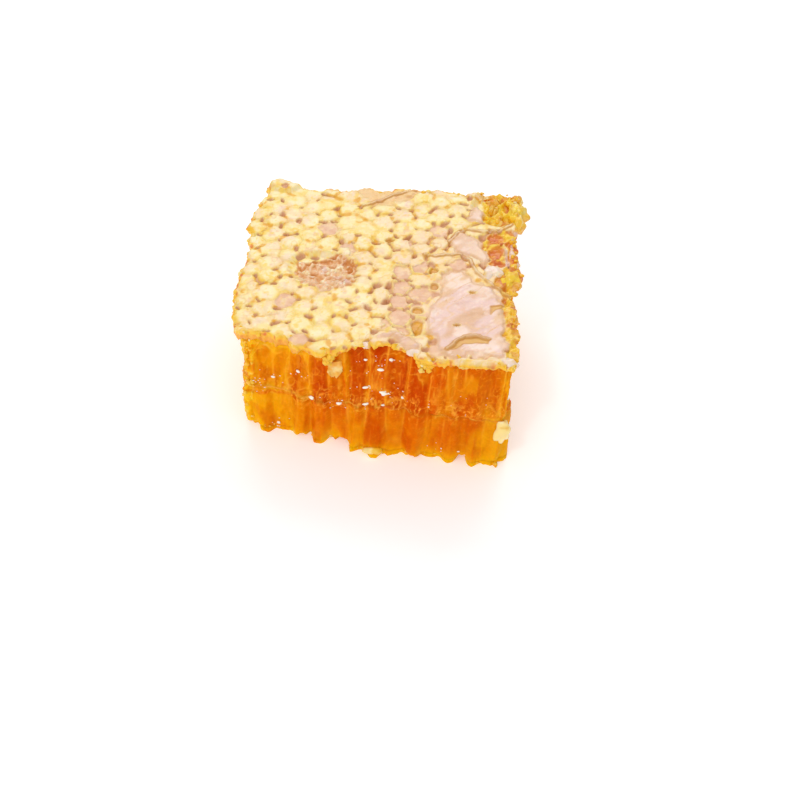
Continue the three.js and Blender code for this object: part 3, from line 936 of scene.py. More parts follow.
# Where that painted shadow by the rim lies inside the patch and its width, and from where to where it comes
# in along Y (mm).
TORN_SHADOW_PLACE = 0.9
TORN_SHADOW_WIDTH = 1.5
TORN_SHADOW_BACK = (-5, 1)
TORN_THREADS = (Thread(TORN_ORANGE, 0.9, 2.6, 0.08), Thread(OCHRE, 0.7, 1.3, 0.08))
AMBER_MOTTLES = (
    Mottle(AMBER_DEEP, 0.8, 2.2, 0.15, 0.55),
    Mottle(RIDGE_YELLOW, 0.9, 1.5, 0.20, 0.6),
    Mottle(HONEY_DEEP, 0.4, 1.0, 0.40, 0.8),
    Mottle(BUTTER, 0.8, 0.8, 0.60, 0.9),
)
CORNER_MOTTLES = (
    Mottle(AMBER_DEEP, 0.7, 2.8, 0.20, 0.6),
    Mottle(RIDGE_YELLOW, 0.9, 2.2, 0.0, 0.5),
    Mottle(BUTTER, 0.7, 1.2, 0.55, 0.9),
)
# Where the amber cups of the corner, the side and the seam start and are full (mm from a wall).
CUP_TINT_SIDES = (0.3, 1.1)
# Pale streaks at the far right of the amber side: a painted sheen of lilac and pearly streaks.
SIDE_SHEEN_STREAKS = (Mottle(LILAC, 0.9, 0.9, -0.1, 0.4), Mottle(PEARL, 0.8, 0.6, 0.3, 0.7))
SIDE_LENGTH = 5.0
SIDE_FAR = (27.8, 29.4)
WAX_THREADS = (
    Thread(OCHRE, 0.55, 4.0, 0.05),
    Thread(YELLOW, 0.60, 2.6, 0.06),
)

# Honey that has run over the caps and set as a smooth film.
FILMS = (FILM_FRONT, FILM_BACK, FILM_RIM, PEARL_BACK)
FILM_WANDER = 1.0
FILM_LEVEL = 0.55
FILM_EDGE = (-0.3, 0.2)
FILM_SLOPE = (-0.3, 1.1)
FILM_RIPPLES = (Ripple(0.34, 5.0, 2), Ripple(0.09, 1.5, 2))
# The lilac patches are a painted sheen and the light ones are painted highlights, as of the lamp mirrored in
# the film.
FILM_MOTTLES = (
    Mottle(LILAC, 0.95, 3.6, -0.4, 0.3),
    Mottle(FILM_PEACH, 0.75, 3.0, 0.20, 0.7),
    Mottle(FILM_HIGHLIGHT, 0.75, 2.8, 0.05, 0.7),
    Mottle(FILM_HIGHLIGHT, 0.50, 0.9, 0.45, 0.9),
    Mottle(WET_TAN, 0.5, 1.0, 0.35, 0.8),
)
FILM_THREADS = (
    Thread(FILM_PEACH, 0.8, 3.5, 0.06),
    Thread(OCHRE, 0.5, 6.0, 0.02),
)
# Its streaks run diagonally over the plan, and are so many times longer than wide.
STREAK_TURN = math.radians(42)
STREAK_LENGTH = 1.8
# Its back right corner painted with a pearly sheen (mm), its thin edge and the pocket in it, with the
# pocket's dark line.
FILM_SHEEN_RIGHT = (15, 22)
FILM_SHEEN_FROM = (2, 6)
FILM_RIM_WIDTH = 1.6
POCKET_WANDER = 0.2
POCKET_DEPTH = 0.22
POCKET_SIDE = 0.3
POCKET_TINT = Layer(POCKET_OCHRE, 0.95, -0.2, 0.3)
POCKET_LINE = Line(OCHRE, 0.8, 0.2)


def streaked(at):
    """Plan points squeezed along the film's streaks, so that noise over them is drawn out."""
    along = at[..., 0] * math.cos(STREAK_TURN) + at[..., 1] * math.sin(STREAK_TURN)
    across = at[..., 1] * math.cos(STREAK_TURN) - at[..., 0] * math.sin(STREAK_TURN)
    return stack(along / STREAK_LENGTH, across, 0)


class Top:
    """What the comb's top does at plan points: the wax's height above the top plane, and its colours."""

    def __init__(self, x, y):
        self.x, self.y = x, y
        self.at = stack(x, y, 0)
        warp_u = rippled(self.at, CAP_WARP, 51)
        warp_v = rippled(self.at, CAP_WARP, 151)
        self.cells = Cells(*to_lattice(x + warp_u, y + warp_v, PIECE_HEIGHT))
        self.wander_x = fractal(self.at, WANDER_SIZE, 3, 61)
        self.wander_y = fractal(self.at, WANDER_SIZE, 3, 66)
        self.wet = self.wetness()
        self.torn_depth = self.within(TORN_PATCH, TORN.wander)
        self.torn, self.corner, self.amber, self.seam, self.smooth, self.thin = (
            self.covered(region) for region in (TORN, CORNER, SIDE, RIGHT_SEAM, SMOOTH, THIN))
        bent = (x + FOLD_WANDER * self.wander_x, y + FOLD_WANDER * self.wander_y)
        self.fold = np.minimum.reduce([path_distance(*bent, path) for path in FOLDS])
        self.film_depth = np.maximum.reduce([self.within(path, FILM_WANDER) for path in FILMS])
        self.film = smoothstep(self.film_depth, *FILM_EDGE)
        self.pocket_depth = np.maximum.reduce([self.within(path, POCKET_WANDER) for path in (POCKET, SLOT)])
        self.crack = np.abs(fractal(self.at, CRAG_SIZE, 3, 63))
        self.read_walls()
        self.read_pits()
        self.read_opened()
        sinks = self.cells.own(8) < self.chance(*SUNK_CHANCE)
        self.sunk = sinks * smoothstep(self.cells.wall, *SUNK_SIDES)
        self.height = self.wax_height()

    def within(self, path, wander):
        """Distance inside an outline that wanders by about so many mm."""
        return depth_inside(self.x + wander * self.wander_x, self.y + wander * self.wander_y, path)

    def covered(self, region):
        return smoothstep(self.within(region.path, region.wander), -region.fade, region.fade)

    def chance(self, plain, wet, thin):
        return plain + wet * self.wet + thin * self.thin

    def wetness(self):
        """How much honey lies between the caps: little on the left, more to the right."""
        drift = self.x + rippled(self.at, WET_DRIFT, 41)
        grows = smoothstep(drift, *WET_RIGHT) * smoothstep(-self.y, *WET_FRONT)
        return np.clip(WET_LEAST + WET_MORE * grows + rippled(self.at, WET_WAVER, 42), 0, 1)

    def read_walls(self):
        """How far the dome falls to its walls, the yellow band painted as a glow by each wall, the thin
        creases and the honey grooves between caps.
        """
        self.dome = 1.0
        self.crease = self.groove = self.band = 0.0
        for gap, key_a, key_b in self.cells.edges():
            level = hash01(key_a, key_b, 21) + WALL_WET * (self.wet - WALL_EVEN)
            parted = at_least(0.06, smoothstep(level, *PARTED)) * (1 - THIN_PARTS * self.thin)
            grooved = smoothstep(level, *GROOVED) * (1 - self.thin)
            near = np.maximum(gap, 0)
            falls = DOME_LOST + DOME_LOST_MORE * parted
            self.dome = self.dome * (1 - falls * (1 - np.clip(near / DOME_REACH, 0, 1)) ** 2)
            self.band = np.maximum(self.band, at_least(0.25, parted) * peak(near - GLOW_BAND_PLACE, GLOW_BAND_WIDTH))
            self.crease = np.maximum(self.crease, parted * peak(near, CREASE_WIDTH))
            self.groove = np.maximum(self.groove, grooved * peak(near, GROOVE_WIDTH * (1 + self.wet)))

    def read_pits(self):
        """The pits where three caps meet: their depth, and how far into one a point lies."""
        self.pit_depth = self.pit = 0.0
        ragged = rippled(self.at, PIT_RAGGED, 56)
        for du, dv, key_u, key_v in self.cells.corners():
            present = hash01(key_u, key_v, 2) < self.chance(*PIT_CHANCE)
            size = hash01(key_u, key_v, 3)
            radius = PIT_RADIUS * (1 + size) + PIT_WET * self.wet * size
            turn = math.pi * hash01(key_u, key_v, 6)
            along = du * np.cos(turn) + dv * np.sin(turn)
            across = dv * np.cos(turn) - du * np.sin(turn)
            away = np.hypot(along / PIT_STRETCH[0], across / PIT_STRETCH[1]) / radius + ragged
            hold = present * (1 - smoothstep(away, *PIT_SIDE))
            self.pit_depth = np.maximum(self.pit_depth, hold * PIT_DEPTH * (PIT_LEAST + PIT_MORE * size))
            self.pit = np.maximum(self.pit, hold)

    def read_opened(self):
        """Caps that are opened: how far into one a point lies, and the pale lip round it."""
        self.opened = self.lip = 0.0
        for x, y, half_x, half_y in OPENED_CAPS:
            away = np.hypot((self.x - x) / half_x, (self.y - y) / half_y) + OPENED_WANDER * self.wander_x
            self.opened = np.maximum(self.opened, 1 - smoothstep(away, *OPENED_SIDE))
            self.lip = np.maximum(self.lip, peak(away - LIP_PLACE, LIP_WIDTH))

    def cap_height(self):
        """The domed caps with what falls between them, before the places that look unlike plain caps."""
        cells = self.cells
        rise = CAP_RISE * (1 - CAP_SPREAD * cells.own(4))
        lean = CAP_LEAN * (cells.du * (cells.own(5) - 0.5) + cells.dv * (cells.own(6) - 0.5))
        falls = SUNK_DEPTH * self.sunk + CREASE_DEPTH * self.crease + GROOVE_DEPTH * self.groove
        ridges = THIN_RISE * self.thin * peak(cells.wall, THIN_WALL)
        return rise * self.dome + lean - falls - self.pit_depth + ridges

    def wax_height(self):
        relief, lift = 1.0, 0.0
        for oval in OVALS:
            away = np.hypot((self.x - oval["x"]) / oval["rx"], (self.y - oval["y"]) / oval["ry"])
            hold = 1 - smoothstep(away, *OVAL_SIDE)
            relief = relief + (oval["relief"] - 1) * hold
            lift = lift + oval["lift"] * hold
        height = lift + relief * self.cap_height() * (1 - SMOOTH_LOSES * self.smooth)
        amber = np.maximum(self.amber, SEAM_SHARE * self.seam)
        crag = CRAG_RISE * (0.5 - self.crack) - CRAG_SINK
        places = (self.torn, self.corner, amber)
        height = height + sum(share * place for share, place in zip(CRAGGED, places)) * crag
        cups = smoothstep(self.cells.wall, *AMBER_CUP_SIDES) * (0.5 + self.cells.own(9))
        height = height - AMBER_CUPS * amber * cups
        height = height + RIDGE_RISE * self.corner * peak(self.cells.wall, RIDGE_WIDTH)
        height = height + rippled(self.at, WAX_RIPPLES, 64)
        height = height + self.film * (self.film_height() - height)
        height = height - OPENED_DEPTH * self.opened + LIP_RISE * self.lip
        return height + FOLD_RISE * peak(self.fold, FOLD_WIDTH)

    def film_height(self):
        """The smooth level of the film, with its soft edge, its pocket and its slot."""
        level = FILM_LEVEL * smoothstep(self.film_depth, *FILM_SLOPE)
        level = level + rippled(streaked(self.at), FILM_RIPPLES, 94)
        return level - POCKET_DEPTH * smoothstep(self.pocket_depth, -POCKET_SIDE, POCKET_SIDE)

    def cap_tint(self):
        """The colours of caps and their edges, with a painted glow on the yellow edges and a partly painted
        highlight in the cream middles, and the pits between them.
        """
        at, wall = self.at, self.cells.wall
        fine = noise(at, 0.8, 70)
        # Cream towards each cap's middle: partly wax tone, partly painted highlight.
        tint = laid(BUTTER, CAP_MIDDLE, wall, at_least(0.45, self.cells.own(14)))
        tint = laid(mottled(tint, at, WAX_MOTTLES, 171), WET_CAPS, self.wet)
        # Painted glow: the slopes by the walls are tinted yellow as if lit through the wax.
        side = at_least(0.35, smoothstep(noise(at, 2.2, 72) + 0.5 * fine, *GLOW_BAND_PATCHES))
        tint = mix(tint, YELLOW, 0.85 * side * self.band)
        tint = threaded(tint, at, WAX_THREADS, 181, at_least(0.4, self.wet))
        tint = laid(tint, CREASE_LINE, noise(at, 1.5, 75), self.crease)
        tint = mottled(tint, at, JOINT_MOTTLES, 177, 1 - smoothstep(wall, *JOINT_SIDES))
        tint = laid(tint, GROOVE_HONEY, self.groove)
        patchy = smoothstep(noise(at, 1.5, 76) + 0.4 * fine, *SUNK_PATCHES)
        tint = mix(tint, WET_TAN, self.sunk * (0.35 + 0.55 * patchy))
        tint = laid(tint, SUNK_SPOTS, noise(at, 1.1, 77) + 0.3 * fine, self.sunk)
        tint = lined(tint, THIN_LINE, wall, self.thin)
        return laid(laid(tint, PIT_SLOPE, self.pit), PIT_MIDDLE, self.pit, at_least(0.6, fine))

    def torn_tint(self):
        """The colours of the torn patch: pink crags with orange cracks, most of them along its back rim,
        where orange is painted as shadow.
        """
        at = self.at
        # Painted shadow along the back rim of the torn patch.
        rim = peak(self.torn_depth - TORN_SHADOW_PLACE, TORN_SHADOW_WIDTH) * smoothstep(self.y, *TORN_SHADOW_BACK)
        tint = laid(mottled(TORN_PINK, at, TORN_MOTTLES, 191), TORN_RIM_SHADOW, self.crack, rim)
        tint = laid(tint, TORN_CRACKS, self.crack)
        tint = laid(tint, TORN_CREST, noise(at, 1.1, 197), peak(self.crack, CREST_WIDTH))
        return threaded(tint, at, TORN_THREADS, 195, at_least(0.3, rim))

    def film_tint(self):
        at = streaked(self.at)
        tint = threaded(mottled(FILM_BEIGE, at, FILM_MOTTLES, 251), at, FILM_THREADS, 261)
        # Painted pearly sheen on the back right of the film.
        tint = mix(tint, PEARL, 0.5 * smoothstep(self.y, *FILM_SHEEN_FROM) * smoothstep(self.x, *FILM_SHEEN_RIGHT))
        tint = mix(tint, FILM_PEACH, 0.6 * (1 - smoothstep(self.film_depth, 0, FILM_RIM_WIDTH)))
        tint = laid(tint, POCKET_TINT, self.pocket_depth)
        return lined(tint, POCKET_LINE, self.pocket_depth)

    def tint(self):
        at = self.at
        tint = mix(self.cap_tint(), BACK_TAN, 0.8 * self.smooth)
        tint = mix(tint, self.torn_tint(), self.torn)
        cups = smoothstep(self.cells.wall, *CUP_TINT_SIDES)
        amber = mix(RIDGE_YELLOW, AMBER, cups)
        tint = mix(tint, mottled(amber, at, CORNER_MOTTLES, 199), self.corner)
        amber = mottled(amber, at, AMBER_MOTTLES, 201)
        tint = mix(tint, mix(amber, AMBER, 0.25), self.seam)
        tint = mix(tint, mix(amber, HONEY_MIDDLE, 0.5 * cups), self.amber)
        # Painted sheen streaks on the far right of the amber side.
        far = self.amber * smoothstep(self.x, *SIDE_FAR)
        tint = mottled(tint, at / (1, SIDE_LENGTH, 1), SIDE_SHEEN_STREAKS, 209, far)
        tint = mix(tint, self.film_tint(), self.film)
        tint = mix(tint, BUTTER, 0.8 * self.lip)
        tint = mix(tint, mix(AMBER, OCHRE, at_least(0.5, noise(at, 1.4, 205))), 0.9 * self.opened)
        broken = smoothstep(noise(at, 1.8, 207), *FOLD_LINE_BREAKS)
        tint = lined(tint, FOLD_LINE, self.fold - FOLD_LINE_PLACE, broken)
        return lined(tint, FOLD_GLEAM, self.fold)


RIM_TORN = (Ripple(0.45, 2.4, 3),)


def crust_ring():
    """The torn plan outline of the top capping."""
    ring = outline(1.0)
    cells = Cells(*to_lattice(ring[:, 0], ring[:, 1], PIECE_HEIGHT))
    relief = cells.flutes(CRUST_FLUTE) + rippled(at_height(ring, 0), RIM_TORN, 81)
    return ring + outward_of(ring) * relief[:, None]


# The torn edge of the capping, ring by ring from the top: share of its thickness, distance out (mm).
# Its crumbs are full from CRUMBLE_FROM of the thickness on.
CRUMBLE_FROM = 0.3
CRUST_PROFILE = ((0.12, 0.12), (0.30, 0.18), (0.50, 0.16), (0.70, 0.08), (0.88, -0.05), (1.0, -0.3),
                 (0.95, -1.0), (0.8, -2.0))
CRUST_THICKNESS = 1.0
# Where its hidden underside lies, below the torn patch: inset from the rim and depth (mm).
UNDERSIDE_INSET = 3.0
UNDERSIDE_DEPTH = 2.9
CRUST_LEAST = 0.3
CRUST_RIPPLES = (Ripple(0.6, 3.2, 1), Ripple(0.6, 1.2, 2))
CRUST_CRUMBLE = (Ripple(0.3, 0.9, 2),)
CRUST_MOTTLES = (
    Mottle(BUTTER, 0.6, 2.0, 0.35, 0.8),
    Mottle(HONEY_TIP, 0.9, 1.6, 0.0, 0.5),
    Mottle(HONEY_MIDDLE, 0.85, 1.0, 0.30, 0.7),
    Mottle(CREAM, 0.8, 0.8, 0.50, 0.85),
)
# How much thicker the crust hangs at the front left, from which share of it on its tint is full, and
# where that is (mm to the left and to the front).
CRUST_HANG = 1.5
HANG_TINT = (0.1, 0.5)
HANG_LEFT = (12, 22)
HANG_FRONT = (18, 22)
# How wide the worn edge of the top is, how much wider at the front left, and how far it sags (mm).
EDGE_WIDTH = 1.4
EDGE_MORE = 0.8
EDGE_SAG = 0.3
WORN_WAVER = (Ripple(0.8, 1.5, 1),)
# How strong the crust's tint is there, and how much of the relief the edge loses.
EDGE_TINT = 0.85
EDGE_LOSES = 0.5


def front_left(plan, left, front):
    """1 at the front left of the plan and 0 elsewhere, from ranges to the left and to the front."""
    return smoothstep(-plan[..., 0], *left) * smoothstep(-plan[..., 1], *front)


def worn_top(plan, top):
    """Heights and tints of the top at plan points, with its crumbly edge that is worn to the crust."""
    from_rim = rim_distance()
    edge = 1 - smoothstep(from_rim, 0, EDGE_WIDTH)
    crumbly = edge * (rippled(top.at, CRUST_CRUMBLE, 86) - EDGE_SAG)
    left = front_left(plan, HANG_LEFT, LEFT_FRONT)
    worn = 1 - smoothstep(from_rim + rippled(top.at, WORN_WAVER, 87), 0, EDGE_WIDTH + EDGE_MORE * left)
    plain = 1 - np.maximum.reduce((top.seam, top.amber, top.corner))
    crust = mottled(CRUST_YELLOW, top.at, CRUST_MOTTLES, 241)
    height = top_plane(top.x) + top.height * (1 - EDGE_LOSES * edge) + crumbly
    return height, mix(top.tint(), crust, EDGE_TINT * worn * plain)


def crust_walls(shell, ring, upper):
    """Adds the torn edge below a rim of point numbers, and returns its lowest ring's numbers."""
    rim = shell.points[0][upper]
    left = front_left(ring, HANG_LEFT, HANG_FRONT)
    thick = CRUST_THICKNESS + CRUST_HANG * left + rippled(at_height(ring, 0), CRUST_RIPPLES, 82)
    for share, out in CRUST_PROFILE:
        drop = np.maximum(thick, CRUST_LEAST) * share
        at = at_height(ring, -drop)
        crumb = rippled(at, CRUST_CRUMBLE, 84) * smoothstep(share, 0, CRUMBLE_FROM)
        wall = ring + outward_of(ring) * (out + crumb)[:, None]
        tint = mix(mottled(CRUST_YELLOW, at, CRUST_MOTTLES, 241), HONEY_TIP, 0.6 * share)
        tint = mix(tint, HONEY_LEFT, 0.8 * left * smoothstep(share, *HANG_TINT))
        lower = shell.put(at_height(wall, rim[:, 2] - drop), tint)
        shell.faces += ring_quads(upper, lower)
        upper = lower
    sunk = ring - outward_of(ring) * UNDERSIDE_INSET
    lower = shell.put(at_height(sunk, rim[:, 2] - UNDERSIDE_DEPTH), HONEY_TIP)
    shell.faces += ring_quads(upper, lower)
    return lower


def top_capping(material):
    """The wax sheet over the cells, with its caps, pits and torn rim."""
    ring = crust_ring()
    plan = patch(ring)
    height, tint = worn_top(plan, Top(plan[..., 0], plan[..., 1]))
    shell = Shell()
    numbers = shell.put(at_height(plan, height), tint).reshape(height.shape)
    shell.faces = grid_faces(numbers)
    lower = crust_walls(shell, ring, rim_of(numbers))
    shell.faces.append(lower[::-1].tolist())
    return shell.make("capping_top_wax", material, "capping_top")


# --- the bottom capping and the midrib --------------------------------------------------------

UNDER_MOTTLES = (
    Mottle(CRUST_YELLOW, 0.6, 4.0, 0.0, 0.6),
    Mottle(CREAM, 0.7, 2.4, 0.2, 0.7),
    Mottle(HONEY_LEFT, 0.5, 1.4, 0.4, 0.8),
)
# How far inside the foot its even grid of points starts, and the rings from there to the foot.
UNDER_INSET = 5.0
UNDER_RINGS = 10
# How much of each point's place along a side of that grid is square to the foot.
SQUARE_SHARE = 0.9
# Rings of its rim from the floor up: height and inset (mm).
UNDER_PROFILE = ((0.0, 0.1), (0.15, 0.0), (0.8, 0.0), (BOTTOM_CAPPING, 0.0), (BOTTOM_CAPPING + 0.2, 0.4))


def inset_ring(corners, inset):
    """A ring of four straight sides inside four corners, with its points about square to the outer sides."""
    corners = np.array(corners)
    runs = np.roll(corners, -1, axis=0) - corners
    lengths = np.hypot(*runs.T)
    along = runs / lengths[:, None]
    inner = corners + inset * (along - np.roll(along, 1, axis=0))
    sides = []
    for side, steps in enumerate((GRID_X, GRID_Y, GRID_X, GRID_Y)):
        share = np.arange(steps) / steps
        square = np.clip((share * lengths[side] - inset) / (lengths[side] - 2 * inset), 0, 1)
        share = blend(share, square, SQUARE_SHARE)[:, None]
        sides.append(blend(inner[side], inner[(side + 1) % 4], share))
    return np.concatenate(sides)


# How much of the top's creases, grooves and pits the underside has.
UNDER_CREASE = 0.45
UNDER_GROOVE = 0.5
UNDER_PIT = 0.7


def under_surface(plan, hold):
    """Points and tints of the underside at plan points, with its grooves held to a share of their depth."""
    under = Top(plan[..., 0], plan[..., 1])
    lift = UNDER_CREASE * under.crease + UNDER_GROOVE * under.groove + UNDER_PIT * under.pit_depth
    tint = mix(mottled(BUTTER, under.at, UNDER_MOTTLES, 271), PIT_DARK, 0.8 * under.pit)
    return at_height(plan, hold * lift), mix(tint, OCHRE, 0.6 * under.crease)


def bottom_capping(material):
    """The capping underneath: flat caps on the surface it rests on, with grooves between them."""
    rings = [face_ring(z, FOOT_FLUTE, -inset) for z, inset in UNDER_PROFILE]
    foot = rings[0][0]
    inner = inset_ring(FOOT_CORNERS, UNDER_INSET)
    shell = Shell()
    plan = patch(inner)
    numbers = shell.put(*under_surface(plan, 1.0)).reshape(plan.shape[:2])
    shell.faces = [face[::-1] for face in grid_faces(numbers)]
    lower = rim_of(numbers)
    for share in (np.arange(UNDER_RINGS) + 1) / UNDER_RINGS:
        upper = shell.put(*under_surface(blend(inner, foot, share), 1 - share))
        shell.faces += ring_quads(upper, lower)
        lower = upper
    for (z, _), (ring, face) in zip(UNDER_PROFILE[1:], rings[1:]):
        tint = mix(face.tint(), HONEY_TIP, 0.35 + 0.5 * noise(face.at, 1.4, 275))
        upper = shell.put(at_height(ring, z), tint)
        shell.faces += ring_quads(upper, lower)
        lower = upper
    shell.faces.append(lower.tolist())
    return shell.make("capping_bottom_wax", material, "capping_bottom")


# The midrib's edge, from below: share of its half thickness, distance out (mm).
RIB_PROFILE = ((-1, -0.6), (-0.7, 0.0), (0, 0.12), (0.7, 0.0), (1, -0.6))
RIB_WAVES = (Ripple(0.35, 4.0, 1), Ripple(0.15, 1.2, 1))
RIB_TORN = (Ripple(0.45, 2.6, 2),)
RIB_PROUD = -0.1
# Its half thickness, and how much that changes along it.
RIB_HALF = 0.18
RIB_UNEVEN = (Ripple(0.5, 1.6, 1),)


def midrib(material):
    """The wax sheet between the layers: a thin broken line that stands just proud of the cut face."""
    base = outline(MIDRIB_HEIGHT / PIECE_HEIGHT)
    at = at_height(base, 0)
    half = RIB_HALF * (1 + rippled(at, RIB_UNEVEN, 113))
    ring, face = face_ring(MIDRIB_HEIGHT, CELL_FLUTE, RIB_PROUD + rippled(at, RIB_TORN, 111))
    tint = mix(face.tint(), MIDRIB_LIGHT, at_least(0.4, noise(at, 2.0, 114)))
    shell = Shell()
    for rise, out in RIB_PROFILE:
        edge = ring + outward_of(base) * out
        height = midrib_plane(edge[:, 0]) + rippled(at, RIB_WAVES, 112) + half * rise
        shell.put(at_height(edge, height), tint)
    shell.faces = closed_band(len(RIB_PROFILE), RING_SIZE)
    return shell.make("midrib_wax", material, "midrib")


# --- crumbs, lumps, scraps and beads ----------------------------------------------------------

# The size of the bumps of an uneven ball, as a share of its half size.
BUMP_SIZE = 0.8


def lump(centre, axes, salt, roughness, levels=7, sides=10):
    """Rings of an uneven ball: axes are three vectors (mm) from its centre to its sides."""
    polar = ((np.arange(levels) + 0.5) / levels * math.pi)[:, None]
    turn = np.arange(sides) / sides * 2 * math.pi
    unit = stack(np.sin(polar) * np.cos(turn), np.sin(polar) * np.sin(turn), -np.cos(polar))
    unit = unit * (1 + roughness * fractal(unit + salt, BUMP_SIZE, 2, 3)[..., None])
    return np.asarray(centre) + unit @ np.asarray(axes)


# How many crumbs lie on the rim, round the foot and down the front left edge, and their half sizes.
RIM_CRUMBS = 480
FOOT_CRUMBS = 160
EDGE_CRUMBS = 30
CRUMB_SIZE = (0.13, 0.75)
FOOT_CRUMB_SHARE = 0.7
# Half sizes of a crumb along its axes as shares of its size, and how rough it is.
CRUMB_SHAPE = (0.6, 1.3)
CRUMB_ROUGHNESS = 0.4
CRUMB_SEED = 11
# Clusters on the rim: their size (mm), and the range from which each crumb draws the noise it needs.
CLUSTER_SIZE = 5.0
CLUSTER_LEVELS = (-0.7, 0.3)
# Where crumbs lie (mm): in from the rim and down from the top, and heights at the foot and the edge.
RIM_INWARD = (-0.1, 1.6)
RIM_DOWN = (-0.1, 1.1)
FOOT_LEVEL = 1.2
FOOT_HEIGHTS = (0.5, 2.2)
EDGE_HEIGHTS = (3, 29)
# Steps of a ring on both sides of the front left edge.
EDGE_STEPS = (-10, 12)
# The share of cream crumbs, and the range from which the weight of a crumb's second colour is drawn.
CREAM_SHARE = 0.22
CRUMB_TINT = (0, 0.9)


def wax_crumbs(material):
    """Crumbs of wax that cling in clusters to the torn rims and down the front left edge."""
    draw = np.random.default_rng(CRUMB_SEED)
    shell = Shell()
    for n, (spot, size) in enumerate(crumb_places(draw)):
        axes = np.diag(size * draw.uniform(*CRUMB_SHAPE, 3))
        shell.loft(lump(spot, axes, n, CRUMB_ROUGHNESS), crumb_tint(draw))
    return shell.make("wax_crumbs", material)


def crumb_tint(draw):
    return mix(CRUST_YELLOW, CREAM if draw.uniform() < CREAM_SHARE else HONEY_TIP, draw.uniform(*CRUMB_TINT))


def crumb_places(draw):
    """The middle and half size of each crumb: many are small and few are large."""
    rim = crust_ring()
    outward = outward_of(rim)
    foot, _ = face_ring(FOOT_LEVEL, FOOT_FLUTE)
    clustered = noise(at_height(rim, 0), CLUSTER_SIZE, 15)
    for n in range(RIM_CRUMBS + FOOT_CRUMBS):
        k = draw.integers(RING_SIZE)
        size = blend(*CRUMB_SIZE, draw.uniform() ** 3)
        if n >= RIM_CRUMBS:
            yield (*foot[k], draw.uniform(*FOOT_HEIGHTS)), FOOT_CRUMB_SHARE * size
        elif clustered[k] > draw.uniform(*CLUSTER_LEVELS):
            spot = rim[k] - outward[k] * draw.uniform(*RIM_INWARD)
            yield (*spot, top_plane(spot[0]) - draw.uniform(*RIM_DOWN)), size
    for _ in range(EDGE_CRUMBS):
        height = draw.uniform(*EDGE_HEIGHTS)
        ring, _ = face_ring(height, CELL_FLUTE)
        spot = ring[draw.integers(*EDGE_STEPS)]
        yield (*spot, height), blend(*CRUMB_SIZE, draw.uniform() ** 2)


# Lumps of wax and set honey: plan place, height over the top plane, three half sizes (mm), colour.
LUMPS = (
    (26.0, 0.8, 0.1, (2.3, 2.5, 1.2), PEARL),
    (30.2, -0.8, -0.2, (2.0, 2.8, 1.4), RIDGE_YELLOW),
    (30.2, -29.8, -0.3, (2.2, 1.4, 1.0), PEARL),
    (-3.0, -26.0, -0.5, (1.3, 0.9, 0.8), PEARL),
    (8.2, -28.0, -0.3, (2.0, 1.3, 0.8), PEARL),
    (31.4, 26.0, -0.5, (1.8, 3.0, 1.3), RIDGE_YELLOW),
    (1.2, -30.3, -32.7, (2.2, 1.2, 1.1), CRUST_YELLOW),
    (31.7, -30.4, -22.8, (1.8, 1.0, 3.4), BUTTER),
)
LUMP_MOTTLES = (
    Mottle(CREAM, 0.7, 2.6, 0.1, 0.6),
    Mottle(AMBER, 0.6, 2.0, 0.3, 0.7),
)
LUMP_ROUGHNESS = 0.4
LUMP_LEVELS = 22
LUMP_SIDES = 34
# Small lumps strewn over the open corner: how many, the corner's middle and reach, and their half
# sizes, the shares of those along their axes, how deep they sit, how rough and how fine they are.
CORNER_LUMPS = 13
CORNER_MIDDLE = (29.0, 26.5)
CORNER_REACH = (3.9, 5.2)
CORNER_LUMP_SIZE = (1.0, 2.3)
CORNER_LUMP_SHAPE = (0.6, 1.2)
CORNER_LUMP_SINK = 0.7
CORNER_ROUGHNESS = 0.45
CORNER_LEVELS = 16
CORNER_SIDES = 24
CORNER_COLOURS = (RIDGE_YELLOW, CRUST_YELLOW, AMBER)
CORNER_SEED = 23


def soft_lumps(material):
    shell = Shell()
    for n, (x, y, above, halves, colour) in enumerate(LUMPS):
        centre = (x, y, top_plane(x) + above)
        rings = lump(centre, np.diag(halves), 5.0 * n, LUMP_ROUGHNESS, LUMP_LEVELS, LUMP_SIDES)
        shell.loft(rings, mottled(colour, rings, LUMP_MOTTLES, 281))
    draw = np.random.default_rng(CORNER_SEED)
    for n in range(CORNER_LUMPS):
        x, y = np.array(CORNER_MIDDLE) + draw.uniform(-1, 1, 2) * CORNER_REACH
        size = draw.uniform(*CORNER_LUMP_SIZE)
        axes = np.diag(size * draw.uniform(*CORNER_LUMP_SHAPE, 3))
        centre = (x, y, top_plane(x) - CORNER_LUMP_SINK * size)
        rings = lump(centre, axes, 3.0 * n, CORNER_ROUGHNESS, CORNER_LEVELS, CORNER_SIDES)
        colour = CORNER_COLOURS[n % len(CORNER_COLOURS)]
        shell.loft(rings, mottled(colour, rings, LUMP_MOTTLES, 283))
    return shell.make("soft_lumps", material)


# Fluffy flaps of wax that hang from the rim: plan place, height of the root, half width and length (mm).
FLAPS = (
    ((-11.8, -29.5), 33.2, 2.0, 4.8),
    ((10.6, -31.0), 34.8, 2.7, 4.6),
    ((19.6, -32.0), 35.4, 2.0, 2.0),
    ((-22.0, -24.5), 32.0, 1.6, 1.4),
    ((35.0, 4.0), 35.6, 2.4, 3.2),
    ((-14.0, 34.0), 32.8, 2.2, 3.2),
    ((-36.0, 6.0), 31.2, 2.0, 2.8),
)
# The lumps of a flap: how many, their half sizes, the shares of those across, outwards and upwards,
# how rough and how fine they are.
FLAP_LUMPS = 34
FLAP_LUMP_SIZE = (0.35, 0.95)
FLAP_LUMP_SHAPE = (1.0, 0.6, 1.2)
FLAP_ROUGHNESS = 0.5
FLAP_LEVELS = 10
FLAP_SIDES = 14
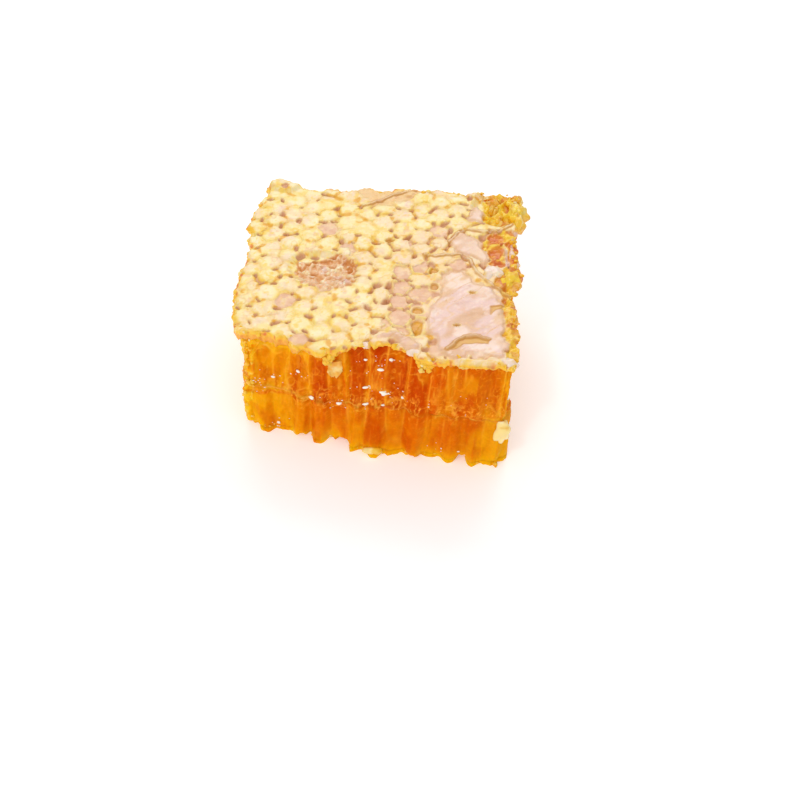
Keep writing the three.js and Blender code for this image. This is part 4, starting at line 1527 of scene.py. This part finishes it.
# They crowd to the root by this power, and spread outwards (mm). A flap leans out by a share of its
# length, and its width and its lumps lose these shares towards the tip.
FLAP_CROWD = 1.3
FLAP_SPREAD = (-0.1, 0.4)
FLAP_LEAN = 0.2
FLAP_NARROWS = 0.75
FLAP_SHRINKS = 0.4
SCRAP_SEED = 7

# A flake that hangs on the cut face: its plan place, the height of its root, its sizes (mm), how far it
# stands off and leans out, and how much thinner it is at its tip.
FLAKE_PLACE = (-9.3, -28.5)
FLAKE_ROOT = 28.6
FLAKE_HALF_WIDTH = 1.9
FLAKE_LENGTH = 5.0
FLAKE_THICKNESS = 0.32
FLAKE_OFF = 0.2
FLAKE_LEAN = 0.05
FLAKE_THINS = 0.6
# Its width follows this part of half a wave, made blunter by a power.
FLAKE_WAVE = (0.14, 0.92)
FLAKE_BLUNT = 0.7
# How ragged its sides are, as a share of its width, and how far it crumples and its hem hangs (mm).
FLAKE_RAGGED = 0.55
FLAKE_CRUMPLE = 0.45
FLAKE_HEM = 0.7
FLAKE_PALE = 0.45
FLAKE_HONEYED = 0.85
FLAKE_MOTTLES = (
    Mottle(CREAM, 0.6, 1.6, 0.2, 0.7),
    Mottle(HONEY_LEFT, 0.8, 1.4, -0.1, 0.5),
)
FLAKE_LEVELS = 14
FLAKE_SIDES = 22
UP = np.array((0, 0, 1))


def face_spot(place, height):
    """The point of the cut face nearest to a plan place, and its outward and sideways directions."""
    ring, _ = face_ring(height, CELL_FLUTE)
    k = int(np.argmin(np.hypot(*(ring - place).T)))
    out = np.array((*outward_of(ring)[k], 0))
    return np.array((*ring[k], height)), out, np.array((-out[1], out[0], 0))


def face_axes(across, out, halves):
    """The axes of a lump on the cut face, from its half sizes across, outwards and upwards."""
    return across * halves[0], out * halves[1], UP * halves[2]


def fluffy_flap(shell, place, root_height, half_width, length, draw):
    """Adds a flap that hangs from the rim, as soft lumps of wax that grow smaller towards its tip."""
    root, out, across = face_spot(place, root_height)
    for _ in range(FLAP_LUMPS):
        share = draw.uniform() ** FLAP_CROWD
        sideways = draw.uniform(-1, 1) * half_width * (1 - FLAP_NARROWS * share)
        outwards = FLAP_LEAN * length * share + draw.uniform(*FLAP_SPREAD)
        spot = root + across * sideways + out * outwards - UP * length * share
        size = draw.uniform(*FLAP_LUMP_SIZE) * (1 - FLAP_SHRINKS * share)
        axes = face_axes(across, out, size * np.array(FLAP_LUMP_SHAPE))
        rings = lump(spot, axes, 9 * draw.uniform(), FLAP_ROUGHNESS, FLAP_LEVELS, FLAP_SIDES)
        shell.loft(rings, crumb_tint(draw))


def hanging_flake():
    """Rings of a torn flake of wax that hangs down the cut face, from its tip up."""
    root, out, across = face_spot(FLAKE_PLACE, FLAKE_ROOT)
    turn = np.arange(FLAKE_SIDES) / FLAKE_SIDES * 2 * math.pi
    rings = []
    for share in np.arange(FLAKE_LEVELS) / (FLAKE_LEVELS - 1):
        width = FLAKE_HALF_WIDTH * math.sin(math.pi * blend(*FLAKE_WAVE, share)) ** FLAKE_BLUNT
        flat = stack(np.cos(turn), np.sin(turn), share * 3)
        ragged = 1 + FLAKE_RAGGED * fractal(flat, BUMP_SIZE, 2, 5)
        folds = noise(stack(np.cos(turn) * 1.5, 0, share * 4), 0.9, 6)
        crumple = FLAKE_CRUMPLE * folds * min(1, 2 * share)
        hem = FLAKE_HEM * noise(flat, 0.4, 7) * share
        thick = FLAKE_THICKNESS * (1 - FLAKE_THINS * share)
        down = FLAKE_LENGTH * share
        sideways = (width * ragged * np.cos(turn))[:, None]
        outwards = (FLAKE_OFF + FLAKE_LEAN * down + thick * np.sin(turn) + crumple)[:, None]
        rings.append(root + across * sideways + out * outwards - UP * (down + hem[:, None]))
    return np.array(rings[::-1])


def wax_scraps(material):
    """The flaps that hang from the rim and the flake on the cut face."""
    shell = Shell()
    draw = np.random.default_rng(SCRAP_SEED)
    for flap in FLAPS:
        fluffy_flap(shell, *flap, draw)
    rings = hanging_flake()
    colour = mix(mix(CRUST_YELLOW, CREAM, FLAKE_PALE), FLAKE, FLAKE_HONEYED)
    shell.loft(rings, mottled(colour, rings, FLAKE_MOTTLES, 285))
    return shell.make("wax_scraps", material)


# Rows of beads on the front, tinted near-white as painted glints: plan x, height above the midrib (mm), how
# many, the row's length.
BEAD_ROWS = (
    (-3.1, 12.9, 1, 0.0), (3.4, 13.4, 2, 0.8), (0.9, 10.4, 3, 1.8), (-2.4, 5.6, 4, 2.8),
    (2.7, 3.7, 5, 1.8), (1.6, 0.2, 2, 1.4), (-3.3, 0.3, 4, 2.6), (-8.0, -0.4, 3, 0.8),
    (6.7, 2.8, 2, 0.6), (16.5, 4.7, 1, 0.0), (21.8, 2.2, 1, 0.0), (25.8, 5.6, 1, 0.0),
    (-25.4, 3.4, 3, 0.9), (-28.6, 1.3, 2, 0.8), (-17.5, 7.4, 2, 1.2), (-13.5, -0.1, 3, 1.4),
    (-22.9, -11.2, 2, 0.8), (20.7, -12.0, 1, 0.0),
)
# Fine beads strewn round the rows, and beads on the other sides: how many, and half sizes (mm).
FINE_BEADS = 110
FINE_BEAD_SIZE = (0.06, 0.14)
OTHER_BEADS = 60
BEAD_SIZE = (0.12, 0.48)
# How far beads stray in height from a row, and fine ones along X and in height (mm).
ROW_STRAY = 0.25
FINE_STRAY = (2.5, 1.2)
# How far above the foot and below the top the beads of the other sides end (mm).
BEADS_FROM = 4
BEADS_BELOW = 5
# A bead's half sizes across, from a range, and outwards, as shares of its own; how far out it lies.
BEAD_WIDE = (1.0, 2.2)
BEAD_FLAT = 0.7
BEAD_OUT = 0.10
BEAD_ROUGHNESS = 0.12
BEAD_LEVELS = 9
BEAD_SIDES = 14
BEAD_SEED = 5


def bead_places(draw):
    """Plan place, height and half size of each bead: rows in front, fine ones round them, others."""
    front = TOP_CORNERS[0][1]
    for x, above, many, length in BEAD_ROWS:
        for _ in range(many):
            place = x + draw.uniform(-0.5, 0.5) * length
            size = blend(*BEAD_SIZE, draw.uniform() ** 2)
            yield (place, front), midrib_plane(place) + above + draw.normal(0, ROW_STRAY), size
    for _ in range(FINE_BEADS):
        x, above, _, _ = BEAD_ROWS[draw.integers(len(BEAD_ROWS))]
        place = x + draw.normal(0, FINE_STRAY[0])
        height = midrib_plane(place) + above + draw.normal(0, FINE_STRAY[1])
        yield (place, front), height, draw.uniform(*FINE_BEAD_SIZE)
    for _ in range(OTHER_BEADS):
        k = draw.integers(GRID_X, RING_SIZE)
        height = draw.uniform(BEADS_FROM, PIECE_HEIGHT - BEADS_BELOW)
        yield tuple(TOP_RING[k]), height, draw.uniform(*BEAD_SIZE)


def glint_beads(material):
    """Beads as of honey run out of the cut cells, tinted near-white as painted glints."""
    draw = np.random.default_rng(BEAD_SEED)
    shell = Shell()
    for n, (place, z, size) in enumerate(bead_places(draw)):
        spot, out, across = face_spot(place, z)
        axes = face_axes(across, out, (size * draw.uniform(*BEAD_WIDE), size * BEAD_FLAT, size))
        # Near-white tint: painted glints.
        shell.loft(lump(spot + out * BEAD_OUT, axes, n, BEAD_ROUGHNESS, BEAD_LEVELS, BEAD_SIDES), GLINT)
    return shell.make("glint_beads", material)


# --- materials --------------------------------------------------------------------------------

NOISE_DETAIL = 4.0
# Noise over the tint, bumps, light inside and gloss of each material, with sizes and depths in mm.
FINISHES = {
    "beeswax": dict(
        tint=dict(size=0.6, spread=0.08), bump=dict(size=0.5, depth=0.12),
        inside=dict(weight=0.25, radius=(1.0, 0.7, 0.35), scale=0.4),
        gloss=dict(roughness=0.42, coat=0.35, coat_roughness=0.22)),
    "honey_in_cells": dict(
        tint=dict(size=0.9, spread=0.12), bump=dict(size=0.7, depth=0.12),
        inside=dict(weight=0.55, radius=(1.0, 0.42, 0.12), scale=1.3),
        gloss=dict(roughness=0.18, coat_roughness=0.1, specular=0.3, ior=1.08)),
    "honeyed_wax": dict(
        tint=dict(size=0.9, spread=0.10),
        inside=dict(weight=0.3, radius=(1.0, 0.6, 0.3), scale=0.3),
        gloss=dict(roughness=0.5, coat_roughness=0.1, specular=0.2)),
    "honey_film": dict(
        tint=dict(size=2.0, spread=0.04), bump=dict(size=2.4, depth=0.1),
        inside=dict(weight=0.2, radius=(1.0, 0.6, 0.3), scale=0.6),
        gloss=dict(roughness=0.32, coat=0.35, coat_roughness=0.16)),
    # Near-white beads that stand for painted glints.
    "glint_beads": dict(
        tint=dict(size=2.0, spread=0.03), gloss=dict(roughness=0.1, coat=1.0, coat_roughness=0.03)),
}


def node_material(name):
    material = bpy.data.materials.new(name)
    material.use_nodes = True
    nodes = material.node_tree.nodes
    nodes.clear()
    output = nodes.new("ShaderNodeOutputMaterial")
    shader = nodes.new("ShaderNodeBsdfPrincipled")
    material.node_tree.links.new(shader.outputs[0], output.inputs["Surface"])
    return material, shader


def noise_node(material, size):
    """Noise over the object, with features of that size in mm."""
    tree = material.node_tree
    place = tree.nodes.new("ShaderNodeTexCoord")
    texture = tree.nodes.new("ShaderNodeTexNoise")
    texture.inputs["Scale"].default_value = 1 / (size * MM)
    texture.inputs["Detail"].default_value = NOISE_DETAIL
    tree.links.new(place.outputs["Object"], texture.inputs["Vector"])
    return texture


def tinted(material, shader, size, spread):
    """The mesh's own tint, made lighter and darker by fine noise."""
    tree = material.node_tree
    tint = tree.nodes.new("ShaderNodeVertexColor")
    tint.layer_name = "tint"
    texture = noise_node(material, size)
    span = tree.nodes.new("ShaderNodeMapRange")
    span.inputs["To Min"].default_value = 1 - spread
    span.inputs["To Max"].default_value = 1 + spread
    scale = tree.nodes.new("ShaderNodeVectorMath")
    scale.operation = "SCALE"
    tree.links.new(texture.outputs["Fac"], span.inputs["Value"])
    tree.links.new(tint.outputs["Color"], scale.inputs[0])
    tree.links.new(span.outputs["Result"], scale.inputs["Scale"])
    tree.links.new(scale.outputs["Vector"], shader.inputs["Base Color"])


def bumped(material, shader, size, depth):
    tree = material.node_tree
    bump = tree.nodes.new("ShaderNodeBump")
    bump.inputs["Distance"].default_value = depth * MM
    bump.inputs["Strength"].default_value = 1.0
    tree.links.new(noise_node(material, size).outputs["Fac"], bump.inputs["Height"])
    tree.links.new(bump.outputs["Normal"], shader.inputs["Normal"])


def soft(shader, weight, radius, scale):
    shader.inputs["Subsurface Weight"].default_value = weight
    shader.inputs["Subsurface Radius"].default_value = radius
    shader.inputs["Subsurface Scale"].default_value = scale * MM


def glossy(shader, roughness, coat_roughness, coat=0.0, specular=0.5, ior=1.5):
    shader.inputs["Roughness"].default_value = roughness
    shader.inputs["Coat Weight"].default_value = coat
    shader.inputs["Coat Roughness"].default_value = coat_roughness
    shader.inputs["Specular IOR Level"].default_value = specular
    shader.inputs["IOR"].default_value = ior


def finished(name):
    """A material of the list above. Some have no bumps, and beads take in no light."""
    finish = FINISHES[name]
    material, shader = node_material(name)
    tinted(material, shader, **finish["tint"])
    glossy(shader, **finish["gloss"])
    if "bump" in finish:
        bumped(material, shader, **finish["bump"])
    if "inside" in finish:
        soft(shader, **finish["inside"])
    return material


# --- stage: floor, light and camera -----------------------------------------------------------

FLOOR_HALF = 2.0
FLOOR_GLOW = 0.22
FLOOR_ROUGHNESS = 0.7
# The camera: place in metres, turn in degrees, lens and sensor in mm.
CAMERA_PLACE = (0.00269, -0.26108, 0.26388)
CAMERA_TURN = (43.168, -4.598, 3.782)
LENS = 63.0
SENSOR_WIDTH = 36.0
WORLD_STRENGTH = 0.62
# Area lights: place and size in metres, power in watts.
SOFTBOX = ((-0.01, 0.43, 0.44), (0.5, 0.35), 1.3)
FRONT_FILL = ((-0.2, -0.45, 0.35), (0.4, 0.4), 0.7)
SPARKLE = ((-0.12, -0.3, 0.42), (0.04, 0.04), 0.25)
LIGHT_TARGET = (0, 0, 0.02)


def floor():
    mesh = bpy.data.meshes.new("floor")
    h = FLOOR_HALF
    mesh.from_pydata([(-h, -h, 0), (h, -h, 0), (h, h, 0), (-h, h, 0)], [], [(0, 1, 2, 3)])
    material, shader = node_material("pale_floor")
    shader.inputs["Base Color"].default_value = (*linear(rgb(FLOOR_WHITE)), 1)
    shader.inputs["Roughness"].default_value = FLOOR_ROUGHNESS
    shader.inputs["Emission Color"].default_value = (1, 1, 1, 1)
    shader.inputs["Emission Strength"].default_value = FLOOR_GLOW
    mesh.materials.append(material)
    obj = bpy.data.objects.new("floor", mesh)
    bpy.context.scene.collection.objects.link(obj)


def area_light(name, place, size, power):
    light = bpy.data.lights.new(name, "AREA")
    light.shape = "RECTANGLE"
    light.size, light.size_y = size
    light.energy = power
    obj = bpy.data.objects.new(name, light)
    obj.location = place
    back = np.array(place) - np.array(LIGHT_TARGET)
    tilt = math.atan2(math.hypot(back[0], back[1]), back[2])
    obj.rotation_euler = (tilt, 0, math.atan2(back[0], -back[1]))
    bpy.context.scene.collection.objects.link(obj)


def lights():
    area_light("back_softbox", *SOFTBOX)
    area_light("front_fill", *FRONT_FILL)
    area_light("sparkle", *SPARKLE)
    world = bpy.data.worlds.new("studio")
    world.use_nodes = True
    world.node_tree.nodes["Background"].inputs["Color"].default_value = (1, 1, 1, 1)
    world.node_tree.nodes["Background"].inputs["Strength"].default_value = WORLD_STRENGTH
    bpy.context.scene.world = world


def camera():
    data = bpy.data.cameras.new("camera")
    data.lens = LENS
    data.sensor_width = SENSOR_WIDTH
    obj = bpy.data.objects.new("camera", data)
    obj.location = CAMERA_PLACE
    obj.rotation_euler = [math.radians(angle) for angle in CAMERA_TURN]
    bpy.context.scene.collection.objects.link(obj)
    bpy.context.scene.camera = obj


# --- the whole scene --------------------------------------------------------------------------

# How far below the top plane the upper cells end (mm), under the capping.
CELLS_BELOW = 1.2


def cells_top(x):
    return top_plane(x) - CELLS_BELOW


def cells_foot(x):
    return BOTTOM_CAPPING + 0 * x


def build():
    wax, honey = finished("beeswax"), finished("honey_in_cells")
    top_capping(wax)
    cell_layer("cells_upper_honey", "cells_upper", midrib_plane, cells_top, CELL_FLUTE, CRUST_FLUTE, honey)
    cell_layer("cells_lower_honey", "cells_lower", cells_foot, midrib_plane, FOOT_FLUTE, CELL_FLUTE, honey)
    midrib(finished("honeyed_wax"))
    bottom_capping(honey)
    wax_crumbs(wax)
    soft_lumps(finished("honey_film"))
    wax_scraps(wax)
    glint_beads(finished("glint_beads"))
    floor()
    lights()
    camera()
    bpy.context.scene.view_settings.view_transform = "Standard"


build()
